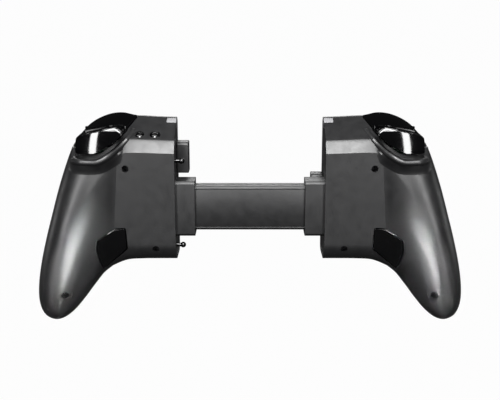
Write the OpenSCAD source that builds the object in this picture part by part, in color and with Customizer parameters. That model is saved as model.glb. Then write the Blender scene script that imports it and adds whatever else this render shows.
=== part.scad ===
// Stretching game controller that holds a phone across its bridge.
// X runs along the bridge, -Y is the back that faces away from the player, Z points to the triggers.
// The origin is the middle of the pad that the back of the phone rests on.

/* [Bridge] */
// Half the distance between the inner walls of the two grips, bridge closed
inner_wall = 38.5; // [36:0.5:42]
// Height of the bridge beam
beam_h = 23.4; // [20:0.2:25]
// Thickness of the bridge beam
beam_t = 8.2; // [7.4:0.1:8.6]
// How far each grip can be pulled out along the bridge
travel = 45; // [30:1:46]
// Length of beam that stays inside a grip at full stretch
beam_overlap = 15; // [12:0.5:16]
// Wall of the two bridge covers
beam_wall = 1.5; // [1.2:0.1:1.8]
// Thickness of the soft pad that the phone rests on
pad_t = 2.2; // [1.8:0.1:2.6]
// Running clearance between the bridge and what slides along it
slide_gap = 0.3; // [0.2:0.05:0.4]
// Width of the sleeve that stands out of each grip
collar_out = 10.1; // [8:0.1:12]
// Front and rear wall of the sleeve
collar_wall = 1.6; // [1.3:0.1:1.8]
// Upper and lower wall of the sleeve
collar_side_wall = 2.6; // [1.6:0.1:2.8]

/* [Grip shell] */
// Width of a grip, from its inner wall to its outermost side
grip_w = 72.5; // [70.5:0.5:74.5]
// How far the end of a grip reaches below the middle of the pad
grip_drop = 59.2; // [57.2:0.5:62.2]
// Wall of the moulded shells
wall = 2.2; // [1.8:0.1:2.5]
// Back plate's distance behind the pad
plate_back = 15; // [14.6:0.1:16]
// Front face's distance in front of the pad
front_face = 12; // [11.6:0.1:13]
// Seam between rear and front shell, distance in front of the pad
parting = 6; // [5.6:0.1:6.4]
// Height of the shell's front top edge
top_z = 45; // [44.5:0.1:46]
// Slope of the top face, in degrees
slope = 28; // [26:0.5:30]
// Radius of the bend between back plate and top slope
edge_r = 7; // [5:0.5:9]
// Radius of the back plate's lower edge
foot_r = 10; // [7:0.5:11]
// Radius of the front cover's edge
rim_r = 4; // [3:0.5:5]
// Width of the seam line between the two shells
seam = 0.15; // [0.1:0.05:0.25]
// Shell sections between two drawn ones
smooth = 2; // [1:1:3]

/* [Controls] */
// Gap round buttons, triggers and paddles
button_gap = 0.3; // [0.25:0.05:0.45]
// Radius of a face button
face_button_r = 3.9; // [3.7:0.1:4.1]
// Distance of the face buttons from the middle of their group
face_button_pitch = 7.4; // [7.4:0.1:7.8]
// Height of the face buttons over the front face
face_button_rise = 1.8; // [1.6:0.1:2.4]
// Travel of a face button
face_button_travel = 1.2; // [0.8:0.1:1.3]
// Radius of a menu button
menu_button_r = 2.3; // [2:0.1:2.8]
// Travel of a menu button
menu_button_travel = 0.5; // [0.3:0.1:0.6]
// Radius of a small button on the top slope
top_button_r = 2.2; // [1.8:0.1:2.4]
// Radius of the thumb cap of a stick
stick_cap_r = 9; // [8:0.1:9.6]
// Height of the thumb cap's top over the stick's pivot
stick_height = 19.5; // [19:0.1:21]
// Radius of the dome round a stick's shaft
dome_r = 8; // [7.8:0.1:8.2]
// Width of the directional pad
dpad_w = 21; // [19:0.5:23]
// Width of an arm of the directional pad
dpad_arm = 7.2; // [6:0.2:8]

/* [Fixings] */
// Radius of the recess over a shell screw
recess_r = 1.8; // [1.6:0.1:2]
// Radius of a pivot pin
pin_r = 1.0; // [0.8:0.1:1.2]
// Running clearance round a pivot pin
pin_gap = 0.05; // [0.03:0.01:0.09]
// Radius of the ball on a stud
ball_r = 1.5; // [1.2:0.1:1.8]
// How far the phone stops stand out of the inner wall
stop_out = 6.4; // [5:0.1:8]
// Height of a phone stop
stop_h = 16.3; // [14:0.1:17]
// Travel of a phone stop along its slot
stop_travel = 17; // [12:0.5:17]

/* [Hidden] */

right = -1;
left = 1;
eps = 0.01;

// A grip's outer side and end follow its driving width and drop, the more the nearer a place is to them
drawn_w = 72.5;
drawn_drop = 59.2;
function grip_out(x) = x + (grip_w - drawn_w) * pow(x / drawn_w, 4);
function grip_down(z) = z > 0 ? z : z - (grip_drop - drawn_drop) * pow(z / drawn_drop, 4);
function on_grip(p) = [grip_out(p[0]), grip_down(p[1])];

// Places on a grip, as distances from the inner wall and heights
upper_group = [39, 21];
lower_group = [19.5, -6];
screw_places = [[24.9, 21.8], [10.4, -20.8], on_grip([55.8, -41.3])];
motor_place = on_grip([57, -31]);
stud_heights = [25, -19.7];
stud_y = -10;
stud_r = 1;
stud_out = 3.5;
menu_place = [8.5, 33];
side_button_place = [16, 26];
top_button_places = [10.4, 18.1];
top_button_along = 11.3;
top_button_rise = 0.9;
socket_place = [20, 1.8];
socket_half = [4.5, 1.6];
trigger_hinge = [-8, 35.4];
bumper_hinge = [27.5, 38.6];
paddle_hinge = [27.3, -10.2];

shell_grey = "#2e2e30";
gloss_black = "#0b0b0c";
soft_black = "#1c1c1d";
steel = "#b4b6b8";
board_green = "#1f4a33";

// Bridge, worked out from its driving sizes
beam_front = -pad_t;
beam_back = beam_front - beam_t;
beam_half = inner_wall + travel + beam_overlap - collar_out;
beam_z = beam_h / 2;
cover_split = beam_back + beam_t * 0.56;
panel_line = 0.4;

// Shell outline: lower and inner edge, then upper and outer edge, as distances from the inner wall and
// heights, one pair for each section from the inner wall to the end of the grip
lower_edge = [[0, -28.3], [9, -28.3], [18, -28.4], [26, -29], [33.1, -31.8], [35.4, -33.7], [37.4, -35.7],
    [39.2, -37.6], [40.9, -39.6], [42.6, -41.7], [44.4, -43.9], [46.4, -46.2], [48.3, -48.6], [50.4, -51],
    [52.4, -53.3], [54.8, -55.6], [57.4, -57.5], [60, -58.7], [62.2, -59.2]];
upper_edge = [[0, 0], [8, 0.3], [15.5, 0.7], [22, 0.95], [27.6, 1], [33.5, 0.7], [39.5, -0.8], [45, -3.4],
    [50, -8], [54, -14], [57.6, -23.5], [61, -34.5], [64.2, -46.5], [67.5, -59], [70.5, -72], [72.2, -83],
    [72.5, -92], [70.6, -99.2], [67.6, -102.4]];
grip_tip = on_grip([64.6, -59.4]);
// Section at which the grip rises out of the flat back plate with a crease
crease = 4;
// How far each section bulges behind the back plate, and how much of the grip's round form it has
bulge = [-8, -6, -4, -2.2, 0, 2.6, 4.8, 6.7, 8.2, 9.4, 10.7, 12.1, 13.4, 14.4, 14.9, 14.2, 11.4, 5.6, -4.2];
roundness = [-1, -0.8, -0.5, -0.25, 0, 0.3, 0.55, 0.76, 0.9, 1, 1, 1, 1, 1, 1, 1, 1, 1, 1];
// The same two for the front, where the grip falls away behind the front face
front_fall = [0, 0, 0, 0, 0, 0, 0, 0.3, 0.8, 1.5, 2.2, 2.8, 3.4, 4, 4.8, 6.2, 8.6, 12, 15];
front_roundness = [0, 0, 0, 0, 0, 0, 0, 0, 0.12, 0.35, 0.65, 0.88, 1, 1, 1, 1, 1, 1, 1];
// How far the seam drops behind its place on the body
seam_drop = [0, 0, 0, 0, 0, 0, 0, 0, 0, 0.6, 2.4, 5.2, 8, 10.2, 11.6, 12.4, 12.8, 13, 13];
tip_back = -7.4;
grip_power = 2.3;
front_power = 2.8;

function mix(a, b, f) = a + (b - a) * f;
function spline(list, u) =
    let (n = len(list) - 1, i = min(floor(u), n - 1), f = u - i,
        p0 = list[max(i - 1, 0)], p1 = list[i], p2 = list[i + 1], p3 = list[min(i + 2, n)])
    (2 * p1 + (p2 - p0) * f + (2 * p0 - 5 * p1 + 4 * p2 - p3) * f * f
        + (3 * p1 - p0 - 3 * p2 + p3) * f * f * f) / 2;
function arc(centre, r, from, to, steps) =
    [for (k = [0:steps]) let (a = mix(from, to, k / steps)) centre + r * [cos(a), sin(a)]];
function line(from, to, steps) = [for (k = [1:steps]) mix(from, to, k / steps)];
function signed_pow(v, p) = sign(v) * pow(abs(v), p);
function grow(points, centre, d) = [for (p = points) p + d * (p - centre) / norm(p - centre)];

// Body section as [y, z] points, from the seam at the top round the back to the seam at the foot
foot_z = lower_edge[0][1];
bend_z = top_z - (parting + plate_back) * tan(slope) - edge_r * tan((90 - slope) / 2);
slope_end = [edge_r - plate_back, bend_z] + edge_r * [cos(90 + slope), sin(90 + slope)];
body_back = concat(
    [for (k = [0:2]) mix([parting, top_z], slope_end, k / 3)],
    arc([edge_r - plate_back, bend_z], edge_r, 90 + slope, 180, 4),
    line([-plate_back, bend_z], [-plate_back, foot_z + foot_r], 4),
    [for (k = [1:3]) [foot_r - plate_back, foot_z + foot_r] + foot_r * [cos(180 + 30 * k), sin(180 + 30 * k)]],
    [[parting, foot_z]]);
body_front = concat(
    [[parting, foot_z]],
    arc([front_face - rim_r, foot_z + rim_r], rim_r, 270, 360, 3),
    line([front_face, foot_z + rim_r], [front_face, top_z - rim_r], 4),
    [for (k = [1:3]) [front_face - rim_r, top_z - rim_r] + rim_r * [cos(30 * k), sin(30 * k)]],
    [[parting, top_z]]);

// One point of a section: the body's form blended with the grip's, pushed inwards by inset
function section_point(u, k, count, body, round_list, depth, power, inset) =
    let (a = on_grip(spline(lower_edge, u)), b = on_grip(spline(upper_edge, u) + [0, top_z]),
        seam_y = parting - spline(seam_drop, u), w = u < crease ? 0 : min(spline(round_list, u), 1),
        across = norm(b - a), full = abs(depth),
        angle = 180 * k / count,
        from_top = body == body_back,
        body_t = (body[k][1] - foot_z) / (top_z - foot_z),
        body_y = (body[k][0] - parting) / (from_top ? plate_back + parting : front_face - parting),
        grip_t = 0.5 + 0.5 * signed_pow(cos(angle), 2 / power) * (from_top ? 1 : -1),
        grip_y = pow(sin(angle), 2 / power) * (from_top ? -1 : 1),
        t = mix(body_t, grip_t, w), y = mix(body_y, grip_y, w),
        m = inset / across, t_in = m + t * (1 - 2 * m),
        y_in = seam_y + y * (full - inset), p = mix(a, b, t_in))
    [p[0], y_in, p[1]];
function back_depth(u) = plate_back + (u < crease ? 0 : spline(bulge, u)) + parting - spline(seam_drop, u);
function front_depth(u) = front_face - spline(front_fall, u) - parting + spline(seam_drop, u);
back_steps = len(body_back) - 1;
front_steps = len(body_front) - 1;
sections = len(lower_edge) - 1;

// A half shell between two depths under the outer skin, as one closed solid
module skin(rear, outer, inner, from_u, to_u, closed) {
    body = rear ? body_back : body_front;
    cols = len(body) - 1;
    rows = round((to_u - from_u) * smooth);
    shift = rear ? 0 : seam;
    us = [for (i = [0:rows]) mix(from_u, to_u, i / rows)];
    grid = [for (inset = [outer, inner]) for (u = us) for (k = [0:cols])
        section_point(u, k, cols, body, rear ? roundness : front_roundness,
            rear ? back_depth(u) : front_depth(u), rear ? grip_power : front_power, inset)
            + [0, shift, 0]];
    n = (rows + 1) * (cols + 1);
    tip_o = [grip_tip[0], tip_back + shift, grip_tip[1] + outer];
    tip_i = [grip_tip[0], tip_back + shift, grip_tip[1] + inner];
    points = concat(grid, closed ? [tip_o, tip_i] : []);
    function o(i, k) = i * (cols + 1) + k;
    function q(i, k) = n + i * (cols + 1) + k;
    po = 2 * n;
    pi_ = 2 * n + 1;
    r = rows;
    faces = concat(
        [for (i = [0:r - 1]) for (k = [0:cols - 1]) each [
            [o(i, k), o(i + 1, k), o(i + 1, k + 1)], [o(i, k), o(i + 1, k + 1), o(i, k + 1)],
            [q(i, k), q(i + 1, k + 1), q(i + 1, k)], [q(i, k), q(i, k + 1), q(i + 1, k + 1)]]],
        [for (i = [0:r - 1]) each [
            [o(i + 1, 0), o(i, 0), q(i, 0)], [o(i + 1, 0), q(i, 0), q(i + 1, 0)],
            [o(i, cols), o(i + 1, cols), q(i + 1, cols)], [o(i, cols), q(i + 1, cols), q(i, cols)]]],
        [for (k = [0:cols - 1]) each [
            [o(0, k), o(0, k + 1), q(0, k + 1)], [o(0, k), q(0, k + 1), q(0, k)]]],
        closed
            ? concat(
                [for (k = [0:cols - 1]) each [[o(r, k), po, o(r, k + 1)], [q(r, k), q(r, k + 1), pi_]]],
                [[po, o(r, 0), q(r, 0)], [po, q(r, 0), pi_], [o(r, cols), po, pi_], [o(r, cols), pi_, q(r, cols)]])
            : [for (k = [0:cols - 1]) each [
                [o(r, k + 1), o(r, k), q(r, k)], [o(r, k + 1), q(r, k), q(r, k + 1)]]]);
    polyhedron(points, faces, convexity = 8);
}

// Left and right grips share every shape, mirrored
module side(s) {
    if (s < 0) mirror([1, 0, 0]) translate([inner_wall, 0, 0]) children();
    else translate([inner_wall, 0, 0]) children();
}
module along_x(from, to) {
    translate([from, 0, 0]) rotate([90, 0, 90]) linear_extrude(to - from) children();
}
module along_y(from, to) {
    translate([0, to, 0]) rotate([90, 0, 0]) linear_extrude(to - from) children();
}
module rod_y(place, from, to, r) {
    translate([place[0], from, place[1]]) rotate([-90, 0, 0]) cylinder(h = to - from, r = r, $fn = 48);
}
module rod_x(place, from, to, r) {
    translate([from, place[0], place[1]]) rotate([0, 90, 0]) cylinder(h = to - from, r = r, $fn = 48);
}
module rod_z(place, from, to, r) {
    translate([place[0], place[1], from]) cylinder(h = to - from, r = r, $fn = 48);
}
module block(low, high) {
    translate(low) cube(high - low);
}
module on_slope() {
    rotate([slope, 0, 0]) children();
}

// Bridge
cover_chamfer = 1;
module beam_outline() {
    c = cover_chamfer;
    polygon([[beam_back + c, -beam_z], [beam_front, -beam_z], [beam_front, beam_z], [beam_back + c, beam_z],
        [beam_back, beam_z - c], [beam_back, c - beam_z]]);
}
beam_in_back = beam_back + beam_wall;
beam_in_front = beam_front - beam_wall;
beam_in_z = beam_z - beam_wall;
spring_axis = [(beam_in_back + beam_in_front) / 2, 4];
spring_start = 15;
spring_r = 2.1;
tongue = 3;
tongue_tip = 22;
tongue_end = grip_out(58.6);
tongue_foot = 6.6;
bridge_screw_places = [[-22, 8], [22, 8], [-8, 3], [8, 3]];
bridge_post_r = 1.8;
small_screw_r = 0.7;
small_head_r = 1.3;
groove = 0.3;
module bridge_rear_cover() {
    color(shell_grey) difference() {
        union() {
            difference() {
                along_x(-beam_half, beam_half) beam_outline();
                block([-beam_half - 1, beam_in_back, -beam_in_z], [beam_half + 1, 0, beam_in_z]);
                block([-beam_half - 1, cover_split, -beam_z - 1], [beam_half + 1, 1, beam_z + 1]);
                for (z = [-1, 1] * (beam_z - 1.7)) {
                    block([-beam_half - 1, beam_back - 1, z - panel_line / 2],
                        [beam_half + 1, beam_back + groove, z + panel_line / 2]);
                }
            }
            for (p = bridge_screw_places) rod_y(p, beam_in_back - 0.5, beam_in_front - 0.1, bridge_post_r);
            for (s = [-1, 1]) {
                block([min(s * (spring_start - 3), s * spring_start), beam_in_back - 0.5, spring_axis[1] - 2],
                    [max(s * (spring_start - 3), s * spring_start), beam_in_front - 0.3, spring_axis[1] + 2]);
            }
        }
        for (p = bridge_screw_places) rod_y(p, beam_in_back + 0.6, 0, small_screw_r + pin_gap);
    }
}
module bridge_front_cover() {
    color(shell_grey) difference() {
        along_x(-beam_half, beam_half) beam_outline();
        block([-beam_half - 1, beam_back - 1, -beam_z - 1],
            [beam_half + 1, cover_split + seam, beam_z + 1]);
        block([-beam_half - 1, beam_back - 1, -beam_in_z], [beam_half + 1, beam_in_front, beam_in_z]);
        for (p = bridge_screw_places) {
            rod_y(p, beam_in_front - 1, 0, small_screw_r + pin_gap);
            rod_y(p, beam_front - 0.9, 0, small_head_r + 0.1);
        }
    }
}
pad_half = 24;
pad_z = 9.6;
module bridge_pad() {
    color(soft_black) difference() {
        block([-pad_half, beam_front, -pad_z], [pad_half, 0, pad_z]);
        for (x = [-17.5:5:17.5]) block([x - 0.5, -0.5, -pad_z + 2], [x + 0.5, 1, pad_z - 2]);
    }
}
module bridge_screws() {
    color(steel) for (p = bridge_screw_places) {
        rod_y(p, beam_in_back + 0.9, beam_front - 0.7, small_screw_r);
        rod_y(p, beam_front - 0.8, beam_front - 0.1, small_head_r);
    }
}
ribbon_t = 0.3;
module ribbon_cable() {
    back = beam_in_back + 0.2;
    color("#b98d3c") block([1 - beam_half, back, -9], [beam_half - 1, back + ribbon_t, -3]);
}
module return_spring(s) {
    color(steel) side(s) difference() {
        rod_x(spring_axis, spring_start + 0.3 - inner_wall, tongue_tip - 0.3, spring_r);
        rod_x(spring_axis, spring_start - 1 - inner_wall, tongue_tip + 1, spring_r - 0.6);
    }
}

// Grip shells
boss_r = 3.2;
post_r = 1.9;
screw_r = 1;
board_front = 0.2;
board_back = -1.4;
grip_screw_back = -(plate_back + 12.6);
seat_depth = 6;
boss_meet = -8.8;
function screw_surface(i) = i < 2 ? -plate_back : grip_screw_back;
function boss_end(i) = i < 2 ? board_back - 0.1 : boss_meet;
function post_start(i) = i < 2 ? board_front + 0.1 : boss_meet + 0.1;
function post_end(i) = i < 2 ? front_face - wall + 0.3 : front_face - wall - 4.5;
trigger_drop = 1.2;
trigger_face = [[47.8, 39.5], [41.1, 41.1], [34.6, 42.4], [28.8, 43.2], [24.6, 40.6], [31.4, 35.3],
    [37.2, 31.9], [39.8, 31.2], [48.3, 31.2]];
trigger_bay = [[24.1, 60], [23.9, 40.2], [30.6, 35.2 - trigger_drop], [36.6, 31.2 - trigger_drop],
    [39.5, 31.2 - trigger_drop - 0.6], [48.9, 31.2 - trigger_drop - 0.6], [49.1, 33], [48.4, 39.8], [48.4, 60]];
bumper_region = [[20.3, parting - 0.3], [25.2, -4.4], [36, -4], [46, -2.4], [53, 2], [54, 4],
    [50, parting - 0.9], [46, parting - 0.3]];
bumper_hole = [[19.7, parting + 1], [19.9, parting - 0.3], [24.8, -4.8], [36, -4.4], [46, -2.8], [70, -2.8],
    [70, parting + 1]];
// How far the bumper rises over the top edge at each section
bumper_rise = [0, 0, 0, 0.7, 1.7, 1.6, 1.1, 0.5, 0.2, 0, 0];
bumper_t = 4;
paddle_face = [[39.6, -15.3], [31.7, -10.4], [26, -9.7], [25.5, -20.2], [37.6, -31.4], [40.1, -20.8]];
paddle_t = 2.2;
paddle_sink = 0.35;
paddle_middle = [33, -19];
paddle_gap = 0.55;
paddle_barrel = [-17.3, -14.5];
lug_heights = [[-14.2, -12.4], [-19.2, -17.6]];
lug_r = 1.4;
lug_foot = [21.6, 24.6];
paddle_pin_r = pin_r - 0.2;
motor_r = 5;
motor_back = -24;
motor_front = -8;
motor_shaft_r = 0.75;
weight_depth = [-6.6, -2.2];
weight_r = 5.4;
tab = 5;
module bay_cuts() {
    along_y(-60, -4) polygon(trigger_bay);
    translate([0, 0, 32.6]) linear_extrude(30) polygon(bumper_hole);
}
module rear_shell(s) {
    color(shell_grey) side(s) difference() {
        union() {
            difference() {
                skin(true, 0, wall, 0, sections, true);
                bay_cuts();
                along_y(-60, -7) polygon(grow(paddle_face, paddle_middle, paddle_gap));
            }
            for (i = [0:2]) {
                rod_y(screw_places[i], screw_surface(i) + wall - 0.1, boss_end(i), boss_r);
            }
            rod_y(motor_place, motor_back - 2, motor_front, motor_r + 1.5);
            for (h = lug_heights) {
                block([lug_foot[0], -plate_back + wall - 0.1, h[0]],
                    [lug_foot[1], paddle_hinge[1] + lug_r, h[1]]);
                block([lug_foot[1] - 0.6, paddle_hinge[1] - lug_r + 0.2, h[0]],
                    [paddle_hinge[0] + lug_r, paddle_hinge[1] + lug_r, h[1]]);
            }
        }
        for (i = [0:2]) {
            rod_y(screw_places[i], screw_surface(i) - 5, screw_surface(i) + seat_depth, recess_r);
            rod_y(screw_places[i], screw_surface(i), 0, screw_r + 0.1);
        }
        rod_y(motor_place, motor_back - 0.3, 0, motor_r + 0.3);
        rod_z(paddle_hinge, -22, -10, paddle_pin_r + pin_gap);
        on_slope() block([-1, 18.6, 33], [tab + seam, 30, 40]);
        if (s == right) for (x = top_button_places) {
            on_slope() translate([x, top_button_along, 30]) {
                cylinder(h = 10, r = top_button_r + button_gap, $fn = 48);
            }
        }
        if (s == left) {
            block([socket_place[0] - socket_half[0] - 0.3, socket_place[1] - socket_half[1] - 0.2, -40],
                [socket_place[0] + socket_half[0] + 0.3, socket_place[1] + socket_half[1] + 0.2, -20]);
        }
    }
}
ear_z = [32.5, 37.2];
ear_back = -9.9;
ear_head = -5.6;
ears = [[31.4, 33, front_face - wall + 0.4, 33.6, 37.2], [45.2, 47, front_face - wall + 0.4, 30, 32.6]];
stick_hole_r = 7.8;
ring_r = 11.2;
ring_rise = 0.7;
function stick_place(s) = s == left ? upper_group : lower_group;
face_places = [for (a = [90, 270, 180, 0]) upper_group + face_button_pitch * [cos(a), sin(a)]];
module cross(w, arm) {
    square([w, arm], center = true);
    square([arm, w], center = true);
}
module front_shell(s) {
    color(shell_grey) side(s) difference() {
        union() {
            skin(false, 0, wall, 0, sections, true);
            for (i = [0:2]) rod_y(screw_places[i], post_start(i), post_end(i), post_r);
            for (e = ears) {
                block([e[0], ear_back, ear_z[0]], [e[1], ear_head, ear_z[1]]);
                block([e[0], ear_back, e[3]], [e[1], e[2], e[4]]);
            }
            rod_y(bumper_hinge, parting + 0.4, front_face - wall + 0.3, 2);
            rod_y(stick_place(s), front_face - 1, front_face + ring_rise, ring_r);
        }
        for (i = [0:2]) rod_y(screw_places[i], -20, post_end(i) - 1.2, screw_r + pin_gap);
        rod_x(trigger_hinge, 20, 50, pin_r + 0.02);
        rod_y(bumper_hinge, 0, front_face - wall - 0.8, pin_r + 0.02);
        rod_y(stick_place(s), 0, 20, stick_hole_r);
        rod_y(menu_place, 0, 20, menu_button_r + button_gap);
        rod_y(side_button_place, 0, 20, menu_button_r + button_gap);
        if (s == right) for (p = face_places) {
            rod_y(p, 5, 20, face_button_r + button_gap);
            rod_y(p, 5, flange_front + 0.3, face_button_r + flange + 0.3);
        }
        if (s == left) translate([lower_group[0], 0, lower_group[1]]) along_y(5, 20) {
            cross(dpad_w + 1.2, dpad_arm + 1.2);
        }
    }
}
stop_back = 0;
stop_front = 8;
stop_slot = [2.6, 5.4];
stop_low = 7.65;
neck_z = 4;
frame_t = [0.2, 2.8];
frame_inset = wall + 0.15;
collar_half = beam_z + slide_gap + collar_side_wall;
function collar_low(gap) = [beam_back - slide_gap - collar_wall - gap, -collar_half - gap];
function collar_high(gap) = [beam_front + slide_gap + collar_wall - 0.1 + gap, collar_half + gap];
module rect(low, high) {
    translate(low) square(high - low);
}
module cradle_frame(s) {
    rear = [for (k = [0:back_steps]) section_point(0, k, back_steps, body_back, roundness,
        back_depth(0), grip_power, frame_inset)];
    front = [for (k = [1:front_steps - 1]) section_point(0, k, front_steps, body_front, front_roundness,
        front_depth(0), front_power, frame_inset)];
    color(shell_grey) side(s) difference() {
        union() {
            along_x(frame_t[0], frame_t[1]) polygon([for (p = concat(rear, front)) [p[1], p[2]]]);
            difference() {
                on_slope() block([0, 18.8, 33.2], [tab, 26.1, 36.85]);
                block([-1, parting - 0.1, 0], [tab + 1, 60, 60]);
            }
        }
        along_x(-1, 6) rect(collar_low(0.05), collar_high(0.05));
        block([-1, stop_slot[0], stop_low - neck_z - 0.3],
            [4, stop_slot[1], stop_low + stop_travel + neck_z + 0.3]);
        if (s == right) for (z = stud_heights) rod_x([stud_y, z], -1, 4, stud_r + pin_gap);
    }
}
collar_chamfer = 1.2;
collar_in = 4;
module slide_collar(s) {
    lo = collar_low(0);
    hi = collar_high(0);
    c = collar_chamfer;
    color(shell_grey) side(s) difference() {
        along_x(-collar_out, collar_in) polygon([[lo[0] + c, lo[1]], [hi[0], lo[1]], [hi[0], hi[1]],
            [lo[0] + c, hi[1]], [lo[0], hi[1] - c], [lo[0], lo[1] + c]]);
        along_x(-collar_out - 1, collar_in + 1) rect([beam_back - slide_gap, -beam_z - slide_gap],
            [beam_front + slide_gap, beam_z + slide_gap]);
    }
}
module spring_anchor(s) {
    y = spring_axis[0];
    z = spring_axis[1];
    h = tongue / 2;
    color(steel) side(s) {
        block([tongue_tip, y - h, z - h], [tongue_end - tongue_foot, y + h, z + h]);
        block([tongue_end - tongue_foot - eps, y - tongue, z - tongue], [tongue_end, y + tongue, z + tongue]);
    }
}
module phone_stop(s) {
    z = s == right ? stop_low + stop_travel : stop_low;
    color(shell_grey) side(s) translate([0, 0, z]) {
        along_x(-stop_out, -0.3) {
            polygon([[stop_back, -stop_h / 2], [stop_front, -stop_h / 2], [stop_front, stop_h / 2],
                [stop_back + 1, stop_h / 2], [stop_back, stop_h / 2 - 1]]);
        }
        block([-0.3 - eps, stop_slot[0] + 0.3, -neck_z], [3.1 + eps, stop_slot[1] - 0.3, neck_z]);
        block([3.1, 1, -neck_z], [4.2, 7, neck_z]);
    }
}
module stop_studs() {
    color(shell_grey) side(right) for (z = stud_heights) {
        rod_x([stud_y, z], 0.5 - stud_out, 3.6, stud_r);
        translate([-stud_out, stud_y, z]) sphere(r = ball_r, $fn = 48);
    }
}

// Triggers, bumpers and paddles
trigger_blade = [[-10.5, 33.3], [-10.5, 43], [-17, 43], [-21.9, 42.4], [-22.7, 40.1], [-23.5, 37.2],
    [-24.1, 34.2], [-24.4, 31.2], [-22.2, 30.6], [-19.5, 32.6], [-13, 33.2]];
trigger_hub = [[-4.9, 33.4], [-4.9, 41.2], [-8, 42.7], [-11, 42.9], [-11, 33.3]];
// The trigger's face is rounded in plan about this point, and its hub sits between the two ears
trigger_centre = [34.5, 35.6];
trigger_hub_x = [33.3, 44.9];
trigger_blade_front = -10.8;
module trigger(s) {
    blade = [for (p = trigger_blade) [trigger_centre[1] - p[0], p[1]]];
    color(gloss_black) side(s) difference() {
        union() {
            intersection() {
                translate([trigger_centre[0], trigger_centre[1], 0]) rotate_extrude($fn = 96) polygon(blade);
                along_y(-40, trigger_blade_front) polygon(trigger_face);
            }
            along_x(trigger_hub_x[0], trigger_hub_x[1]) polygon(trigger_hub);
        }
        rod_x(trigger_hinge, 20, 50, pin_r + pin_gap);
    }
}
// The bumper's upper curve seen along the top slope, pushed down by lift, outwards and back for the underside
function bumper_top(lift) =
    [for (k = [0:24]) let (f = lift == 0 ? k : 24 - k, u = 2.5 + f * 6.6 / 24, p = spline(upper_edge, u))
        [grip_out(p[0]), (top_z + p[1]) * cos(slope) - parting * sin(slope) + spline(bumper_rise, u) + lift]];
module bumper(s) {
    color(gloss_black) side(s) difference() {
        union() {
            intersection() {
                on_slope() along_y(8, 30) polygon(concat(bumper_top(0), bumper_top(-bumper_t)));
                translate([0, 0, 33.8]) linear_extrude(30) polygon(bumper_region);
            }
            rod_y(bumper_hinge, -3.4, parting - 0.4, 2.2);
        }
        rod_y(bumper_hinge, -20, 20, pin_r + pin_gap);
    }
}
module paddle(s) {
    color(gloss_black) side(s) difference() {
        union() {
            intersection() {
                skin(true, paddle_sink, paddle_sink + paddle_t, 2, 10, false);
                along_y(-60, -9) polygon(paddle_face);
            }
            rod_z(paddle_hinge, paddle_barrel[0], paddle_barrel[1], lug_r);
            block([paddle_hinge[0] - 1, -plate_back + 1.5, paddle_barrel[0]],
                [paddle_hinge[0] + 1, paddle_hinge[1], paddle_barrel[1]]);
        }
        rod_z(paddle_hinge, -30, 0, paddle_pin_r + pin_gap);
    }
}
module pivot_pins(s) {
    color(steel) side(s) {
        rod_x(trigger_hinge, 31.6, 46.8, pin_r);
        rod_y(bumper_hinge, -3.4, front_face - wall - 1, pin_r);
        rod_z(paddle_hinge, -19, -12.6, paddle_pin_r);
    }
}

// Sticks
pivot_y = front_face - 5.8;
yoke_out = 6.3;
yoke_in = 4.6;
yoke_t = 1;
stick_pin_r = 0.8;
base_r = 10;
base_drop = 1.6;
base_floor = 1.4;
base_bore = dome_r + 0.6;
shaft_r = 1.5;
hub_r = 3.2;
hub_t = 1.8;
neck_r = 3.2;
dome_t = 0.8;
dome_edge = 58;
module at_stick(s) {
    side(s) translate([stick_place(s)[0], pivot_y, stick_place(s)[1]]) rotate([-90, 0, 0]) children();
}
module stick_cap(s) {
    color(soft_black) at_stick(s) rotate_extrude($fn = 64) {
        h = stick_height;
        r = stick_cap_r;
        polygon([[neck_r + pin_gap, h - 6.9], [r - 1.8, h - 6.3], [r - 0.4, h - 4.9], [r, h - 3],
            [r - 0.2, h - 0.9],
            [r - 0.8, h], [r - 2, h - 0.2], [r - 4, h - 1.2], [0, h - 1.9], [0, h - 4.7],
            [neck_r + pin_gap, h - 4.7]]);
    }
}
module stick_shaft(s) {
    inner_r = dome_r - dome_t;
    color(gloss_black) at_stick(s) {
        rotate_extrude($fn = 64) polygon(concat([[0, inner_r - 0.2], [0, stick_height - 4.8],
            [neck_r, stick_height - 4.8], [neck_r, dome_r - 0.4]],
            arc([0, 0], dome_r, 64, 90 - dome_edge, 6), arc([0, 0], inner_r, 90 - dome_edge, 80, 7)));
        cylinder(h = 3.2 + inner_r, r = shaft_r, $fn = 48);
        translate([0, 0, -3.2]) cylinder(h = 3.3, r = shaft_r, $fn = 48);
    }
}
module stick_hub(s) {
    color(steel) at_stick(s) difference() {
        union() {
            translate([0, 0, -hub_t]) cylinder(h = 2 * hub_t, r = hub_r, $fn = 48);
            for (a = [90, 270]) rotate([0, 90, a]) translate([0, 0, 2.4]) {
                cylinder(h = yoke_out - 2.7, r = stick_pin_r, $fn = 32);
            }
        }
        translate([0, 0, -3]) cylinder(h = 6, r = shaft_r + pin_gap, $fn = 48);
    }
}
module stick_yoke(s) {
    color(steel) at_stick(s) difference() {
        union() {
            translate([0, 0, -yoke_t]) cylinder(h = 2 * yoke_t, r = yoke_out, $fn = 64);
            for (a = [0, 180]) rotate([0, 90, a]) translate([0, 0, 5.4]) {
                cylinder(h = base_bore + 0.8 - 5.4, r = stick_pin_r, $fn = 32);
            }
        }
        translate([0, 0, -3]) cylinder(h = 6, r = yoke_in, $fn = 64);
        rotate([90, 0, 0]) cylinder(h = 20, r = stick_pin_r + pin_gap, center = true, $fn = 32);
    }
}
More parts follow.
